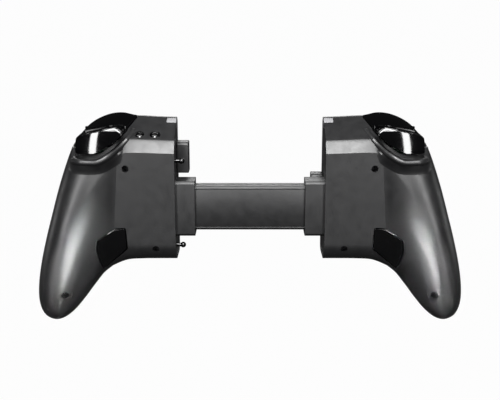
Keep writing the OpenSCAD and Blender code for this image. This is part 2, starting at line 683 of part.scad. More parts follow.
module stick_base(s) {
    floor_y = board_front - pivot_y;
    color(gloss_black) at_stick(s) difference() {
        translate([0, 0, floor_y]) cylinder(h = front_face - wall - base_drop - board_front, r = base_r, $fn = 64);
        translate([0, 0, floor_y + base_floor]) cylinder(h = 20, r = base_bore, $fn = 64);
        rotate([0, 90, 0]) cylinder(h = 30, r = stick_pin_r + pin_gap, center = true, $fn = 32);
    }
}

// Buttons on the front
flange = 0.4;
flange_back = front_face - wall - 1.5;
flange_front = front_face - wall - 0.3;
module push_button(place, r, rise, stem, shade) {
    color(shade) {
        rod_y(place, flange_back, front_face + rise, r);
        rod_y(place, flange_back, flange_front, r + flange);
        rod_y(place, stem, flange_back + eps, r * 0.45);
    }
}
module face_button(i) {
    side(right) push_button(face_places[i], face_button_r, face_button_rise,
        board_front + face_button_travel + 0.3, gloss_black);
}
module menu_button(s, place) {
    side(s) push_button(place, menu_button_r, 0.7, board_front + menu_button_travel + 0.3, gloss_black);
}
module top_button(i) {
    base_h = top_z * cos(slope) - parting * sin(slope);
    color(gloss_black) side(right) on_slope() translate([top_button_places[i], top_button_along, 0]) {
        translate([0, 0, base_h - wall - 1.6]) cylinder(h = wall + 1.6 + top_button_rise, r = top_button_r, $fn = 48);
        translate([0, 0, base_h - wall - 1.6]) cylinder(h = 1, r = top_button_r + 0.8, $fn = 48);
    }
}
ball_y = front_face - 3.7;
pad_ball_r = 2.2;
dpad_back = front_face - wall - 2.6;
dpad_skirt = 1.2;
module directional_pad() {
    color(gloss_black) side(left) translate([lower_group[0], 0, lower_group[1]]) difference() {
        union() {
            along_y(dpad_back, front_face + 2) cross(dpad_w, dpad_arm);
            along_y(dpad_back, dpad_back + 1) cross(dpad_w + 2 * dpad_skirt, dpad_arm + 0.8);
        }
        rod_y([0, 0], dpad_back - 1, ball_y + pad_ball_r + pin_gap, pad_ball_r + pin_gap);
    }
}
module pad_pivot() {
    color(steel) side(left) translate([lower_group[0], ball_y, lower_group[1]]) sphere(r = pad_ball_r, $fn = 64);
}

// Electronics
board_outline = [[6, -24.5], [31, -24.5], [46, -11], [53, 6], [53, 20], [44, 29.9], [6, 33]];
module circuit_board(s) {
    color(board_green) side(s) difference() {
        union() {
            along_y(board_back, board_front) polygon(board_outline);
            if (s == left) rod_y(lower_group, board_back, dpad_back - 0.4, 2.2);
        }
        for (i = [0, 1]) rod_y(screw_places[i], -20, 20, screw_r + 0.4);
        if (s == left) translate([lower_group[0], ball_y, lower_group[1]]) {
            sphere(r = pad_ball_r + pin_gap, $fn = 64);
        }
    }
}
module rumble_motor(s) {
    color(steel) side(s) {
        rod_y(motor_place, motor_back, motor_front - 0.6, motor_r);
        rod_y(motor_place, motor_front - 0.7, weight_depth[1] + 1.2, motor_shaft_r);
    }
}
module rumble_weight(s) {
    color("#8f8f8c") side(s) difference() {
        rod_y(motor_place, weight_depth[0], weight_depth[1], weight_r);
        rod_y(motor_place, -8, 0, motor_shaft_r + pin_gap);
        translate([motor_place[0], 0, motor_place[1]]) block([-8, -8, 1.6], [8, 0, 8]);
    }
}
module shell_screws(s) {
    color(steel) side(s) for (i = [0:2]) {
        seat = screw_surface(i) + seat_depth;
        rod_y(screw_places[i], seat - 1.3, seat, recess_r - 0.15);
        rod_y(screw_places[i], seat - eps, post_end(i) - 1.6, screw_r);
    }
}
module battery() {
    top = -beam_z - 0.7;
    color("#9a9da0") side(left) block([14.5, board_back - 6.8, top - 12], [38.5, board_back - 0.4, top]);
}
socket_wall = 0.3;
module charging_socket() {
    x = socket_place[0];
    y = socket_place[1];
    w = socket_half[0];
    h = socket_half[1];
    color(steel) side(left) difference() {
        block([x - w, y - h, foot_z + 0.3], [x + w, y + h, -20.6]);
        block([x + socket_wall - w, y + socket_wall - h, foot_z - 1],
            [x + w - socket_wall, y + h - socket_wall, -22]);
    }
}

bridge_rear_cover();
bridge_front_cover();
bridge_pad();
bridge_screws();
ribbon_cable();
return_spring(right);  // right_return_spring
return_spring(left);  // left_return_spring
rear_shell(right);  // right_rear_shell
rear_shell(left);  // left_rear_shell
front_shell(right);  // right_front_shell
front_shell(left);  // left_front_shell
cradle_frame(right);  // right_cradle_frame
cradle_frame(left);  // left_cradle_frame
slide_collar(right);  // right_slide_collar
slide_collar(left);  // left_slide_collar
spring_anchor(right);  // right_spring_anchor
spring_anchor(left);  // left_spring_anchor
phone_stop(right);  // right_phone_stop
phone_stop(left);  // left_phone_stop
stop_studs();  // right_stop_studs
trigger(right);  // right_trigger
trigger(left);  // left_trigger
bumper(right);  // right_bumper
bumper(left);  // left_bumper
paddle(right);  // right_paddle
paddle(left);  // left_paddle
pivot_pins(right);  // right_pivot_pins
pivot_pins(left);  // left_pivot_pins
stick_cap(right);  // right_stick_cap
stick_cap(left);  // left_stick_cap
stick_shaft(right);  // right_stick_shaft
stick_shaft(left);  // left_stick_shaft
stick_hub(right);  // right_stick_hub
stick_hub(left);  // left_stick_hub
stick_yoke(right);  // right_stick_yoke
stick_yoke(left);  // left_stick_yoke
stick_base(right);  // right_stick_base
stick_base(left);  // left_stick_base
circuit_board(right);  // right_circuit_board
circuit_board(left);  // left_circuit_board
rumble_motor(right);  // right_rumble_motor
rumble_motor(left);  // left_rumble_motor
rumble_weight(right);  // right_rumble_weight
rumble_weight(left);  // left_rumble_weight
shell_screws(right);  // right_shell_screws
shell_screws(left);  // left_shell_screws
face_button(0);  // face_button_up
face_button(1);  // face_button_down
face_button(2);  // face_button_inner
face_button(3);  // face_button_outer
top_button(0);  // top_button_inner
top_button(1);  // top_button_outer
menu_button(right, menu_place);  // right_menu_button
menu_button(right, side_button_place);  // home_button
menu_button(left, menu_place);  // left_menu_button
menu_button(left, side_button_place);  // capture_button
directional_pad();
pad_pivot();
battery();
charging_socket();
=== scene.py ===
"""Looks of a stretching game controller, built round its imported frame.

X runs along the bridge, -Y is the back that faces away from the player and Z points to the triggers.
Shapes are drawn in millimetres, in the frame of one grip where the inner wall stands at x = 0, and are
set down in metres.
"""

import logging
import math
from dataclasses import dataclass, field, replace
from enum import Enum
from typing import Callable, Sequence

import bmesh
import bpy
from mathutils import Matrix, Vector
from mathutils.bvhtree import BVHTree


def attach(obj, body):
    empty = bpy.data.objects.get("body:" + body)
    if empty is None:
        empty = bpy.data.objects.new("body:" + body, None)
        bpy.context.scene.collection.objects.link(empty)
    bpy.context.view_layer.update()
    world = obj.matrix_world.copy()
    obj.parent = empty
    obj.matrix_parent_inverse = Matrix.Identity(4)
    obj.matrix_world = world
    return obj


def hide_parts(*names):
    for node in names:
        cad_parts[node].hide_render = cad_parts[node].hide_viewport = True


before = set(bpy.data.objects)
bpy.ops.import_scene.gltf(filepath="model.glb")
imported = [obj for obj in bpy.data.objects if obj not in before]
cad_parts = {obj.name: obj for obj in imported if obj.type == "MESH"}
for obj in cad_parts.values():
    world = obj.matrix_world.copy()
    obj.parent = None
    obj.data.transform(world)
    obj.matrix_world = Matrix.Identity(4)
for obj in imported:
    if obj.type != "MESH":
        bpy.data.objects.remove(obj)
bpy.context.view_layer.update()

LOG = logging.getLogger("controller")
MM = 0.001
Pair = tuple[float, float]
Point = tuple[float, float, float]
Corners = tuple[Point, Point]
# Width, segments and least angle in degrees of the rounding of edges
Bevel = tuple[float, int, float]
Colour = tuple[float, float, float]

# Distances in millimetres under which points of a sheet, a closed form and a kept solid are merged
SHEET_MERGE, MERGE, WELD_MM = 0.002, 0.0005, 0.01
# Largest share of a side that the rounding of a corner takes
CORNER_SHARE = 0.45
# Depth behind the whole model, where rays and cuts towards the rear skin begin
FAR_BACK = -60.0
# Ends of the range in which a noise node's value mostly lies
NOISE_LOW, NOISE_HIGH = 0.3, 0.7
# Angles in degrees under which an edge is shaded round, in general and on the rear shell
SMOOTH, REAR_SMOOTH = 32.0, 20.0


class Side(Enum):
    """The half of the controller, named after the player's hand."""

    RIGHT = -1
    LEFT = 1

    def node(self, name: str) -> str:
        """Name of this half's own node or body."""
        return f"{self.name.lower()}_{name}"


class Axis(Enum):
    """Direction in which an outline is drawn out, with the two axes that its points lie on."""

    X = (1, 2, 0)
    Y = (0, 2, 1)
    Z = (0, 1, 2)

    def at(self, point: Pair, along: float) -> Vector:
        """Point of an outline at a distance along this axis.

        Args:
            point: Point of the outline.
            along: Distance along the axis.

        Returns:
            The place in space.
        """
        first, second, third = self.value
        place = Vector((0.0, 0.0, 0.0))
        place[first], place[second], place[third] = point[0], point[1], along
        return place

    def step(self, length: float) -> Vector:
        """Move of that length along this axis."""
        return self.at((0.0, 0.0), length)


class Cut(Enum):
    """Ways in which one form shapes another."""

    AWAY = "DIFFERENCE"
    COMMON = "INTERSECT"


# Shader graphs


class Signal:
    """A value flowing through a material, open to Python arithmetic."""

    def __init__(self, graph: "Graph", socket: bpy.types.NodeSocket) -> None:
        """Wraps an output socket of a graph."""
        self.graph = graph
        self.socket = socket

    def _math(self, operation: str, first: object, second: object) -> "Signal":
        """Adds a Math node for one operation."""
        return self.graph.node("ShaderNodeMath", {"operation": operation}, {0: first, 1: second})

    def __add__(self, other: object) -> "Signal":
        """Sum."""
        return self._math("ADD", self, other)

    def __rsub__(self, other: object) -> "Signal":
        """Difference with the number on the left."""
        return self._math("SUBTRACT", other, self)

    def __mul__(self, other: object) -> "Signal":
        """Product."""
        return self._math("MULTIPLY", self, other)

    def above(self, edge: float) -> "Signal":
        """One where the value passes an edge, else nought."""
        return self._math("GREATER_THAN", self, edge)


class Graph:
    """Node graph of one material or world."""

    def __init__(self, tree: bpy.types.NodeTree) -> None:
        """Empties the tree.

        Args:
            tree: Node tree to fill.
        """
        self.tree = tree
        tree.nodes.clear()

    def node(self, kind: str, settings: dict[str, object] | None = None,
             inputs: dict[object, object] | None = None, output: object = 0) -> Signal:
        """Adds a node, sets it and feeds it.

        Args:
            kind: Blender's type name of the node.
            settings: Properties that are set before its sockets.
            inputs: Value or signal for each socket, by name or number.
            output: Socket that the returned signal reads.

        Returns:
            The chosen output.
        """
        made = self.tree.nodes.new(kind)
        for name, value in (settings or {}).items():
            setattr(made, name, value)
        for name, value in (inputs or {}).items():
            if isinstance(value, Signal):
                self.tree.links.new(value.socket, made.inputs[name])
            else:
                made.inputs[name].default_value = value
        return Signal(self, made.outputs[output] if made.outputs else None)

    def place(self, scale: Point = (1.0, 1.0, 1.0)) -> Signal:
        """Object coordinates, stretched along the axes."""
        texture = self.node("ShaderNodeTexCoord", output="Object")
        return self.node("ShaderNodeMapping", {}, {"Vector": texture, "Scale": scale})

    def noise(self, where: Signal, size_mm: float, detail: float = 3.0, rough: float = 0.55) -> Signal:
        """Noise whose lumps have about that size."""
        return self.node("ShaderNodeTexNoise", {"noise_dimensions": "3D"}, {
            "Vector": where, "Scale": 1.0 / (size_mm * MM), "Detail": detail, "Roughness": rough})

    def blend(self, factor: object, first: object, second: object) -> Signal:
        """Colour between two colours."""
        inputs = {"Factor": factor, "A": first, "B": second}
        return self.node("ShaderNodeMix", {"data_type": "RGBA"}, inputs, "Result")

    def spread(self, noise: Signal, low: float, high: float) -> Signal:
        """Noise moved from its usual range to another, held at its ends."""
        return self.node("ShaderNodeMapRange", {"clamp": True}, {
            "Value": noise, "From Min": NOISE_LOW, "From Max": NOISE_HIGH, "To Min": low, "To Max": high})

    def bump(self, height: Signal, depth_mm: float) -> Signal:
        """Normal of a relief of that depth."""
        return self.node("ShaderNodeBump", {}, {"Height": height, "Distance": depth_mm * MM})


def rgba(colour: Colour, gain: float = 1.0) -> tuple[float, float, float, float]:
    """Colour with an alpha of one, made lighter or darker."""
    return (colour[0] * gain, colour[1] * gain, colour[2] * gain, 1.0)


@dataclass(frozen=True)
class Surface:
    """What a piece is made of: a material that is built once and found again by its name.

    Attributes:
        name: Name of the material.
    """

    name: str

    def material(self) -> bpy.types.Material:
        """Builds the material, or finds it.

        Returns:
            The material.
        """
        found = bpy.data.materials.get(self.name)
        if found:
            return found
        made = bpy.data.materials.new(self.name)
        made.use_nodes = True
        graph = Graph(made.node_tree)
        shader = graph.node("ShaderNodeBsdfPrincipled", {}, self.inputs(graph))
        graph.node("ShaderNodeOutputMaterial", {}, {"Surface": shader})
        return made

    def inputs(self, graph: Graph) -> dict[object, object]:
        """Value or signal for each socket of the shader that differs from the usual."""
        raise NotImplementedError


@dataclass(frozen=True)
class Plastic(Surface):
    """Moulded plastic or rubber with a fine spark-eroded grain, faint flow marks and rubbed patches.

    Attributes:
        name: Name of the material.
        colour: Mean colour.
        rough: Mean roughness.
        grain_mm: Size of a grain.
        grain_depth_mm: Height of the grain.
        tone: Share by which the colour varies.
        polish: Share by which the roughness varies.
        specular: Strength of the surface's own shine.
        flow_mm: Size of a flow mark.
        rubbed_mm: Size of a rubbed patch.
        flow_share: Share of the flow marks in the tone, the rest being grain.
        grain_share: Share of the fine grain in the relief, the rest being specks of three times its size.
    """

    colour: Colour
    rough: float
    grain_mm: float = 0.22
    grain_depth_mm: float = 0.012
    tone: float = 0.12
    polish: float = 0.05
    specular: float = 0.5
    flow_mm: float = 14.0
    rubbed_mm: float = 5.0
    flow_share: float = 0.55
    grain_share: float = 0.7

    def inputs(self, graph: Graph) -> dict[object, object]:
        """Toned colour, patchy roughness and the relief of the grain.

        Args:
            graph: Node graph of the material.

        Returns:
            Value or signal for each socket.
        """
        where = graph.place()
        flow = graph.noise(where, self.flow_mm, 2.0)
        rubbed = graph.noise(where, self.rubbed_mm, 4.0, 0.6)
        grain = graph.noise(where, self.grain_mm, 2.0, 0.5)
        speck = graph.noise(where, self.grain_mm * 3.0, 1.0, 0.5)
        shade = graph.spread(flow * self.flow_share + grain * (1.0 - self.flow_share), 0.0, 1.0)
        relief = grain * self.grain_share + speck * (1.0 - self.grain_share)
        dark, pale = rgba(self.colour, 1.0 - self.tone), rgba(self.colour, 1.0 + self.tone)
        return {
            "Base Color": graph.blend(shade, dark, pale),
            "Roughness": graph.spread(rubbed, self.rough - self.polish, self.rough + self.polish),
            "Normal": graph.bump(relief, self.grain_depth_mm), "Specular IOR Level": self.specular}


@dataclass(frozen=True)
class Metal(Surface):
    """Turned or rolled metal with fine brush lines and dull spots.

    Attributes:
        name: Name of the material.
        colour: Mean colour.
        rough: Mean roughness.
        stretch: Scale of the brush lines along the three axes.
        line_mm: Width of a brush line.
        line_depth_mm: Depth of a brush line.
        line_share: Share of the brush lines in the roughness, the rest being spots.
        spot_mm: Size of a spot.
        gains: Shares of the mean colour in a spot and beside it.
        polish: How far the roughness falls below its mean and rises above it.
    """

    colour: Colour
    rough: float = 0.3
    stretch: Point = (0.1, 1.0, 1.0)
    line_mm: float = 0.12
    line_depth_mm: float = 0.006
    line_share: float = 0.6
    spot_mm: float = 2.5
    gains: Pair = (0.86, 1.08)
    polish: Pair = (0.08, 0.1)

    def inputs(self, graph: Graph) -> dict[object, object]:
        """Spotted colour, lined roughness and the relief of the lines.

        Args:
            graph: Node graph of the material.

        Returns:
            Value or signal for each socket.
        """
        lines = graph.noise(graph.place(self.stretch), self.line_mm, 3.0, 0.6)
        spots = graph.noise(graph.place(), self.spot_mm, 3.0)
        dull, bright = (rgba(self.colour, gain) for gain in self.gains)
        mixed = lines * self.line_share + spots * (1.0 - self.line_share)
        return {
            "Base Color": graph.blend(graph.spread(spots, 0.0, 1.0), dull, bright),
            "Roughness": graph.spread(mixed, self.rough - self.polish[0], self.rough + self.polish[1]),
            "Metallic": 1.0, "Normal": graph.bump(lines, self.line_depth_mm)}


@dataclass(frozen=True)
class Board(Surface):
    """Circuit board: green lacquer over copper tracks on a square raster, both greens darkened to near black
    as painted shade.

    Attributes:
        name: Name of the material.
        lacquer_and_shade: Colour of the lacquer, darkened to near black: partly its own green, partly painted
            shade.
        track_and_shade: Colour of the lacquer over a track, darkened the same way.
        raster: Cells of the raster in a metre.
        gap: Share of a cell between two tracks.
        rise_mm: Height of a track.
    """

    name: str = "board_lacquer_and_shade"
    # Both greens are darkened to near black: partly the lacquer's colour, partly painted shade.
    lacquer_and_shade: Colour = (0.003, 0.014, 0.007)
    track_and_shade: Colour = (0.006, 0.026, 0.012)
    raster: float = 420.0
    gap: float = 0.08
    rise_mm: float = 0.03

    def inputs(self, graph: Graph) -> dict[object, object]:
        """Colour and relief of the tracks under an uneven lacquer, whose near-black green is partly painted
        shade.

        Args:
            graph: Node graph of the material.

        Returns:
            Value or signal for each socket.
        """
        where = graph.place()
        cells = graph.node("ShaderNodeTexVoronoi", {"distance": "CHEBYCHEV", "feature": "DISTANCE_TO_EDGE"},
                           {"Vector": where, "Scale": self.raster}, "Distance")
        tracks = cells.above(self.gap)
        return {
            "Base Color": graph.blend(tracks, rgba(self.track_and_shade), rgba(self.lacquer_and_shade)),
            "Roughness": graph.spread(graph.noise(where, 1.5), 0.28, 0.4),
            "Normal": graph.bump(1.0 - tracks, self.rise_mm)}


WHITE = (1.0, 1.0, 1.0)
BLACK = (0.0045, 0.0045, 0.0048)
SHELL = Plastic("satin_shell", BLACK, 0.42)
INSERT = Plastic("satin_insert", BLACK, 0.44, grain_mm=0.18)
# The corner tab's light grey is a painted highlight.
PAINTED_HIGHLIGHT_TAB = Plastic("painted_highlight_tab", (0.16, 0.16, 0.165), 0.4, grain_mm=0.25)
SLEEVE = Plastic("satin_sleeve", BLACK, 0.42, grain_mm=0.25)
GLOSS = Plastic("gloss_key", (0.0007, 0.0007, 0.0008), 0.07, grain_mm=1.6, grain_depth_mm=0.002, polish=0.02,
                specular=0.42)
RUBBER = Plastic("thumb_rubber", (0.018, 0.018, 0.019), 0.68, grain_mm=0.3, grain_depth_mm=0.03, polish=0.08)
PAD = Plastic("pad_rubber", (0.014, 0.014, 0.015), 0.74, grain_mm=0.4, grain_depth_mm=0.03)
FILM = Plastic("ribbon_film", (0.42, 0.2, 0.03), 0.34, grain_mm=0.6)
WRAP = Plastic("battery_wrap", (0.32, 0.34, 0.37), 0.3, grain_mm=0.9)
STEEL = Metal("turned_steel", (0.5, 0.5, 0.51))
DARK_STEEL = Metal("blackened_steel", (0.012, 0.012, 0.013), 0.5)
BOARD = Board()


# Forms


def spline(values: Sequence[float], where: float) -> float:
    """Value of a smooth curve through evenly spaced values.

    Args:
        values: Values at the whole numbers.
        where: Place between nought and the last number.

    Returns:
        The value there.
    """
    last = len(values) - 1
    base = min(int(math.floor(where)), last - 1)
    f = where - base
    p0, p1, p2, p3 = values[max(base - 1, 0)], values[base], values[base + 1], values[min(base + 2, last)]
    return (2 * p1 + (p2 - p0) * f + (2 * p0 - 5 * p1 + 4 * p2 - p3) * f * f
            + (3 * p1 - p0 - 3 * p2 + p3) * f ** 3) / 2


def spline_pair(values: Sequence[Pair], where: float) -> Pair:
    """Point of a smooth curve through evenly spaced points."""
    return spline([v[0] for v in values], where), spline([v[1] for v in values], where)


def on_circle(centre: Pair, radius: float, degrees: float) -> Pair:
    """Point of a circle at an angle."""
    turn = math.radians(degrees)
    return centre[0] + radius * math.cos(turn), centre[1] + radius * math.sin(turn)


def arc(centre: Pair, radius: float, start: float, end: float, steps: int) -> list[Pair]:
    """Points of an arc, angles in degrees."""
    return [on_circle(centre, radius, start + (end - start) * k / steps) for k in range(steps + 1)]


def rounded(points: Sequence[Pair], radius: float, steps: int = 5) -> list[Pair]:
    """Outline with its corners rounded.

    Args:
        points: Corners in order.
        radius: Length cut off each side at a corner.
        steps: Points of each rounding, less one.

    Returns:
        The new outline.
    """
    made: list[Pair] = []
    for before, corner, after in zip([points[-1], *points[:-1]], points, [*points[1:], points[0]]):
        here = Vector(corner)
        to_before, to_after = Vector(before) - here, Vector(after) - here
        start = here + to_before.normalized() * min(radius, to_before.length * CORNER_SHARE)
        end = here + to_after.normalized() * min(radius, to_after.length * CORNER_SHARE)
        for k in range(steps + 1):
            t = k / steps
            made.append(tuple(start * (1 - t) ** 2 + here * 2 * t * (1 - t) + end * t * t))
    return made


def grown(points: Sequence[Pair], centre: Pair, distance: float) -> list[Pair]:
    """Outline pushed away from a centre.

    Args:
        points: Corners in order.
        centre: Point that they move away from.
        distance: Length of the move.

    Returns:
        The new outline.
    """
    made = []
    for p in points:
        away = Vector(p) - Vector(centre)
        made.append(tuple(Vector(p) + away.normalized() * distance))
    return made


def skin_depth(skin: BVHTree, x: float, z: float) -> float:
    """Depth at which a ray from behind meets a skin, or nought where it misses it."""
    hit = skin.ray_cast(Vector((x, FAR_BACK, z)), Vector((0.0, 1.0, 0.0)))[0]
    return 0.0 if hit is None else hit.y


def linked(name: str, data: bpy.types.ID) -> bpy.types.Object:
    """New object of some data, in the scene.

    Args:
        name: Name of the object.
        data: Its mesh, lamp or camera.

    Returns:
        The object.
    """
    made = bpy.data.objects.new(name, data)
    bpy.context.scene.collection.objects.link(made)
    return made


class Form:
    """A shape under construction, in millimetres."""

    def __init__(self) -> None:
        """Starts an empty shape."""
        self.bm = bmesh.new()

    @classmethod
    def prism(cls, outline: Sequence[Pair], axis: Axis, low: float, high: float) -> "Form":
        """Outline drawn out along an axis.

        Args:
            outline: Corners in order.
            axis: Direction in which it is drawn out.
            low: Where it begins.
            high: Where it ends.

        Returns:
            The form.
        """
        form = cls()
        face = form.bm.faces.new([form.bm.verts.new(axis.at(p, low)) for p in outline])
        drawn = bmesh.ops.extrude_face_region(form.bm, geom=[face])["geom"]
        bmesh.ops.translate(form.bm, verts=[g for g in drawn if isinstance(g, bmesh.types.BMVert)],
                            vec=axis.step(high - low))
        return form.closed()

    @classmethod
    def block(cls, low: Sequence[float], high: Sequence[float]) -> "Form":
        """Box between two corners.

        Args:
            low: Lower corner.
            high: Upper corner.

        Returns:
            The form.
        """
        form = cls()
        low_v, high_v = Vector(low), Vector(high)
        bmesh.ops.create_cube(form.bm, size=1.0)
        bmesh.ops.scale(form.bm, vec=high_v - low_v, verts=form.bm.verts)
        bmesh.ops.translate(form.bm, vec=(low_v + high_v) / 2, verts=form.bm.verts)
        return form

    @classmethod
    def lathe(cls, profile: Sequence[Pair], steps: int = 64) -> "Form":
        """Profile of radius and height, turned about Z.

        Args:
            profile: Points of radius and height.
            steps: Steps of the whole turn.

        Returns:
            The form.
        """
        form = cls()
        verts = [form.bm.verts.new((r, 0.0, h)) for r, h in profile]
        edges = [form.bm.edges.new(pair) for pair in zip(verts, verts[1:])]
        bmesh.ops.spin(form.bm, geom=[*verts, *edges], cent=(0, 0, 0), axis=(0, 0, 1), dvec=(0, 0, 0),
                       angle=math.tau, steps=steps, use_merge=True, use_duplicate=False)
        return form.closed()

    @classmethod
    def together(cls, forms: Sequence["Form"]) -> "Form":
        """Several forms as one, unmerged.

        Args:
            forms: The forms, which are used up.

        Returns:
            The joined form.
        """
        made = cls()
        for form in forms:
            made.with_form(form)
        return made

    @classmethod
    def ball(cls, centre: Sequence[float], radius: float) -> "Form":
        """Ball about a centre.

        Args:
            centre: Its middle.
            radius: Its radius.

        Returns:
            The form.
        """
        form = cls()
        bmesh.ops.create_uvsphere(form.bm, u_segments=48, v_segments=24, radius=radius)
        return form.moved(centre)

    @classmethod
    def bar(cls, radius: float, low: float, high: float, steps: int = 32) -> "Form":
        """Round bar about Z between two heights."""
        return cls.lathe([(0, low), (radius, low), (radius, high), (0, high)], steps)

    @classmethod
    def ring(cls, inner: float, outer: float, low: float, high: float, steps: int = 32) -> "Form":
        """Hollow bar about Z between two heights."""
        return cls.lathe([(inner, low), (outer, low), (outer, high), (inner, high), (inner, low)], steps)

    @classmethod
    def rod(cls, place: Pair, start: float, end: float, radius: float, steps: int = 40) -> "Form":
        """Rod along Y at a place of x and z."""
        return cls.bar(radius, start, end, steps).fronted(place)

    @classmethod
    def sheet(cls, place: Callable[[float, float], Sequence[float]], columns: int, rows: int) -> "Form":
        """Open sheet of a grid, each of its points set by a function of two shares.

        Args:
            place: Gives the point for a share along each side.
            columns: Steps along the first side.
            rows: Steps along the second.

        Returns:
            The form.
        """
        form = cls()
        bmesh.ops.create_grid(form.bm, x_segments=columns, y_segments=rows, size=0.5)
        for vert in form.bm.verts:
            vert.co = place(min(max(vert.co.x + 0.5, 0.0), 1.0), min(max(vert.co.y + 0.5, 0.0), 1.0))
        bmesh.ops.remove_doubles(form.bm, verts=form.bm.verts, dist=SHEET_MERGE)
        return form

    def closed(self) -> "Form":
        """Merges doubles, closes open ends and turns the faces outwards.

        Returns:
            This form.
        """
        bmesh.ops.remove_doubles(self.bm, verts=self.bm.verts, dist=MERGE)
        open_edges = [e for e in self.bm.edges if len(e.link_faces) == 1]
        if open_edges:
            bmesh.ops.holes_fill(self.bm, edges=open_edges, sides=0)
        bmesh.ops.recalc_face_normals(self.bm, faces=self.bm.faces)
        return self

    def moved(self, by: Sequence[float]) -> "Form":
        """Moves the shape."""
        bmesh.ops.translate(self.bm, vec=Vector(by), verts=self.bm.verts)
        return self

    def turned(self, degrees: float, axis: str, about: Sequence[float] = (0, 0, 0)) -> "Form":
        """Turns the shape about an axis through a point.

        Args:
            degrees: Angle.
            axis: Letter of the axis.
            about: Point on the axis.

        Returns:
            This form.
        """
        turn = Matrix.Rotation(math.radians(degrees), 3, axis)
        bmesh.ops.rotate(self.bm, cent=Vector(about), matrix=turn, verts=self.bm.verts)
        return self

    def fronted(self, place: Pair, depth: float = 0.0) -> "Form":
        """Turns the shape from Z to Y and moves it to a place of x and z."""
        return self.turned(-90, "X").moved((place[0], depth, place[1]))

    def sided(self, y: float, z: float) -> "Form":
        """Turns the shape from Z to X and moves it to a place of y and z."""
        return self.turned(90, "Y").moved((0, y, z))

    def bevelled(self, width: float, segments: int = 3, sharp: float = 30.0) -> "Form":
        """Rounds every edge sharper than an angle.

        Args:
            width: Width of the rounding.
            segments: Steps across it.
            sharp: Least angle of an edge in degrees.

        Returns:
            This form.
        """
        limit = math.radians(sharp)
        edges = [e for e in self.bm.edges if len(e.link_faces) == 2 and e.calc_face_angle(0.0) > limit]
        bmesh.ops.bevel(self.bm, geom=edges, offset=width, offset_type="OFFSET", affect="EDGES",
                        segments=segments, profile=0.5, material=-1, clamp_overlap=True)
        return self

    def take(self, other: "Form", how: Cut) -> "Form":
        """Shapes this form with another by a solid operation.

        Args:
            other: The other form, which is used up.
            how: What is done.

        Returns:
            This form.
        """
        ours, theirs = self._loose("ours"), other._loose("theirs")
        modifier = ours.modifiers.new("cut", "BOOLEAN")
        modifier.operation, modifier.object, modifier.solver = how.value, theirs, "EXACT"
        bpy.context.view_layer.update()
        done = bpy.data.meshes.new_from_object(ours.evaluated_get(bpy.context.evaluated_depsgraph_get()))
        self.bm = bmesh.new()
        self.bm.from_mesh(done)
        for thing in (ours, theirs):
            mesh = thing.data
            bpy.data.objects.remove(thing)
            bpy.data.meshes.remove(mesh)
        bpy.data.meshes.remove(done)
        return self

    def _loose(self, name: str) -> bpy.types.Object:
        """Object of this form outside the model, for a moment.

        Args:
            name: Name of the object.

        Returns:
            The object.
        """
        mesh = bpy.data.meshes.new(name)
        self.bm.to_mesh(mesh)
        self.bm.free()
        return linked(name, mesh)

    def latticed(self, step: float, axes: str = "xz") -> "Form":
        """Cuts the faces into a lattice of about that step, so that they can follow a curved skin.

        Args:
            step: Size of a cell.
            axes: Letters of the axes that are divided.

        Returns:
            This form.
        """
        for axis in axes:
            row = "xyz".index(axis)
            values = [v.co[row] for v in self.bm.verts]
            normal = Vector([1.0 if k == row else 0.0 for k in range(3)])
            count = int((max(values) - min(values)) / step)
            for k in range(1, count):
                bmesh.ops.bisect_plane(self.bm, geom=[*self.bm.verts, *self.bm.edges, *self.bm.faces],
                                       plane_co=normal * (min(values) + k * step), plane_no=normal)
        return self

    def draped(self, skin: BVHTree) -> "Form":
        """Lays the shape on a skin, its own depth counted from the skin.

        Args:
            skin: Skin that it lies on.

        Returns:
            This form.
        """
        for vert in self.bm.verts:
            vert.co.y += skin_depth(skin, vert.co.x, vert.co.z)
        return self

    def fluted(self, radius: float, low: float, high: float, count: int, depth: float) -> "Form":
        """Cuts shallow flutes into the part of a turned shape outside a radius and between two heights.

        Args:
            radius: Radius outside which it is cut.
            low: Lower height.
            high: Upper height.
            count: Number of flutes.
            depth: Their depth as a share of the radius.

        Returns:
            This form.
        """
        for vert in self.bm.verts:
            if math.hypot(vert.co.x, vert.co.y) > radius and low < vert.co.z < high:
                turn = math.cos(math.atan2(vert.co.y, vert.co.x) * count)
                share = 1.0 - depth * max(turn, 0.0)
                vert.co.x, vert.co.y = vert.co.x * share, vert.co.y * share
        return self

    def with_form(self, other: "Form") -> "Form":
        """Adds another form to the same piece, unmerged.

        Args:
            other: The other form, which is used up.

        Returns:
            This form.
        """
        mesh = bpy.data.meshes.new("part")
        other.bm.to_mesh(mesh)
        other.bm.free()
        self.bm.from_mesh(mesh)
        bpy.data.meshes.remove(mesh)
        return self


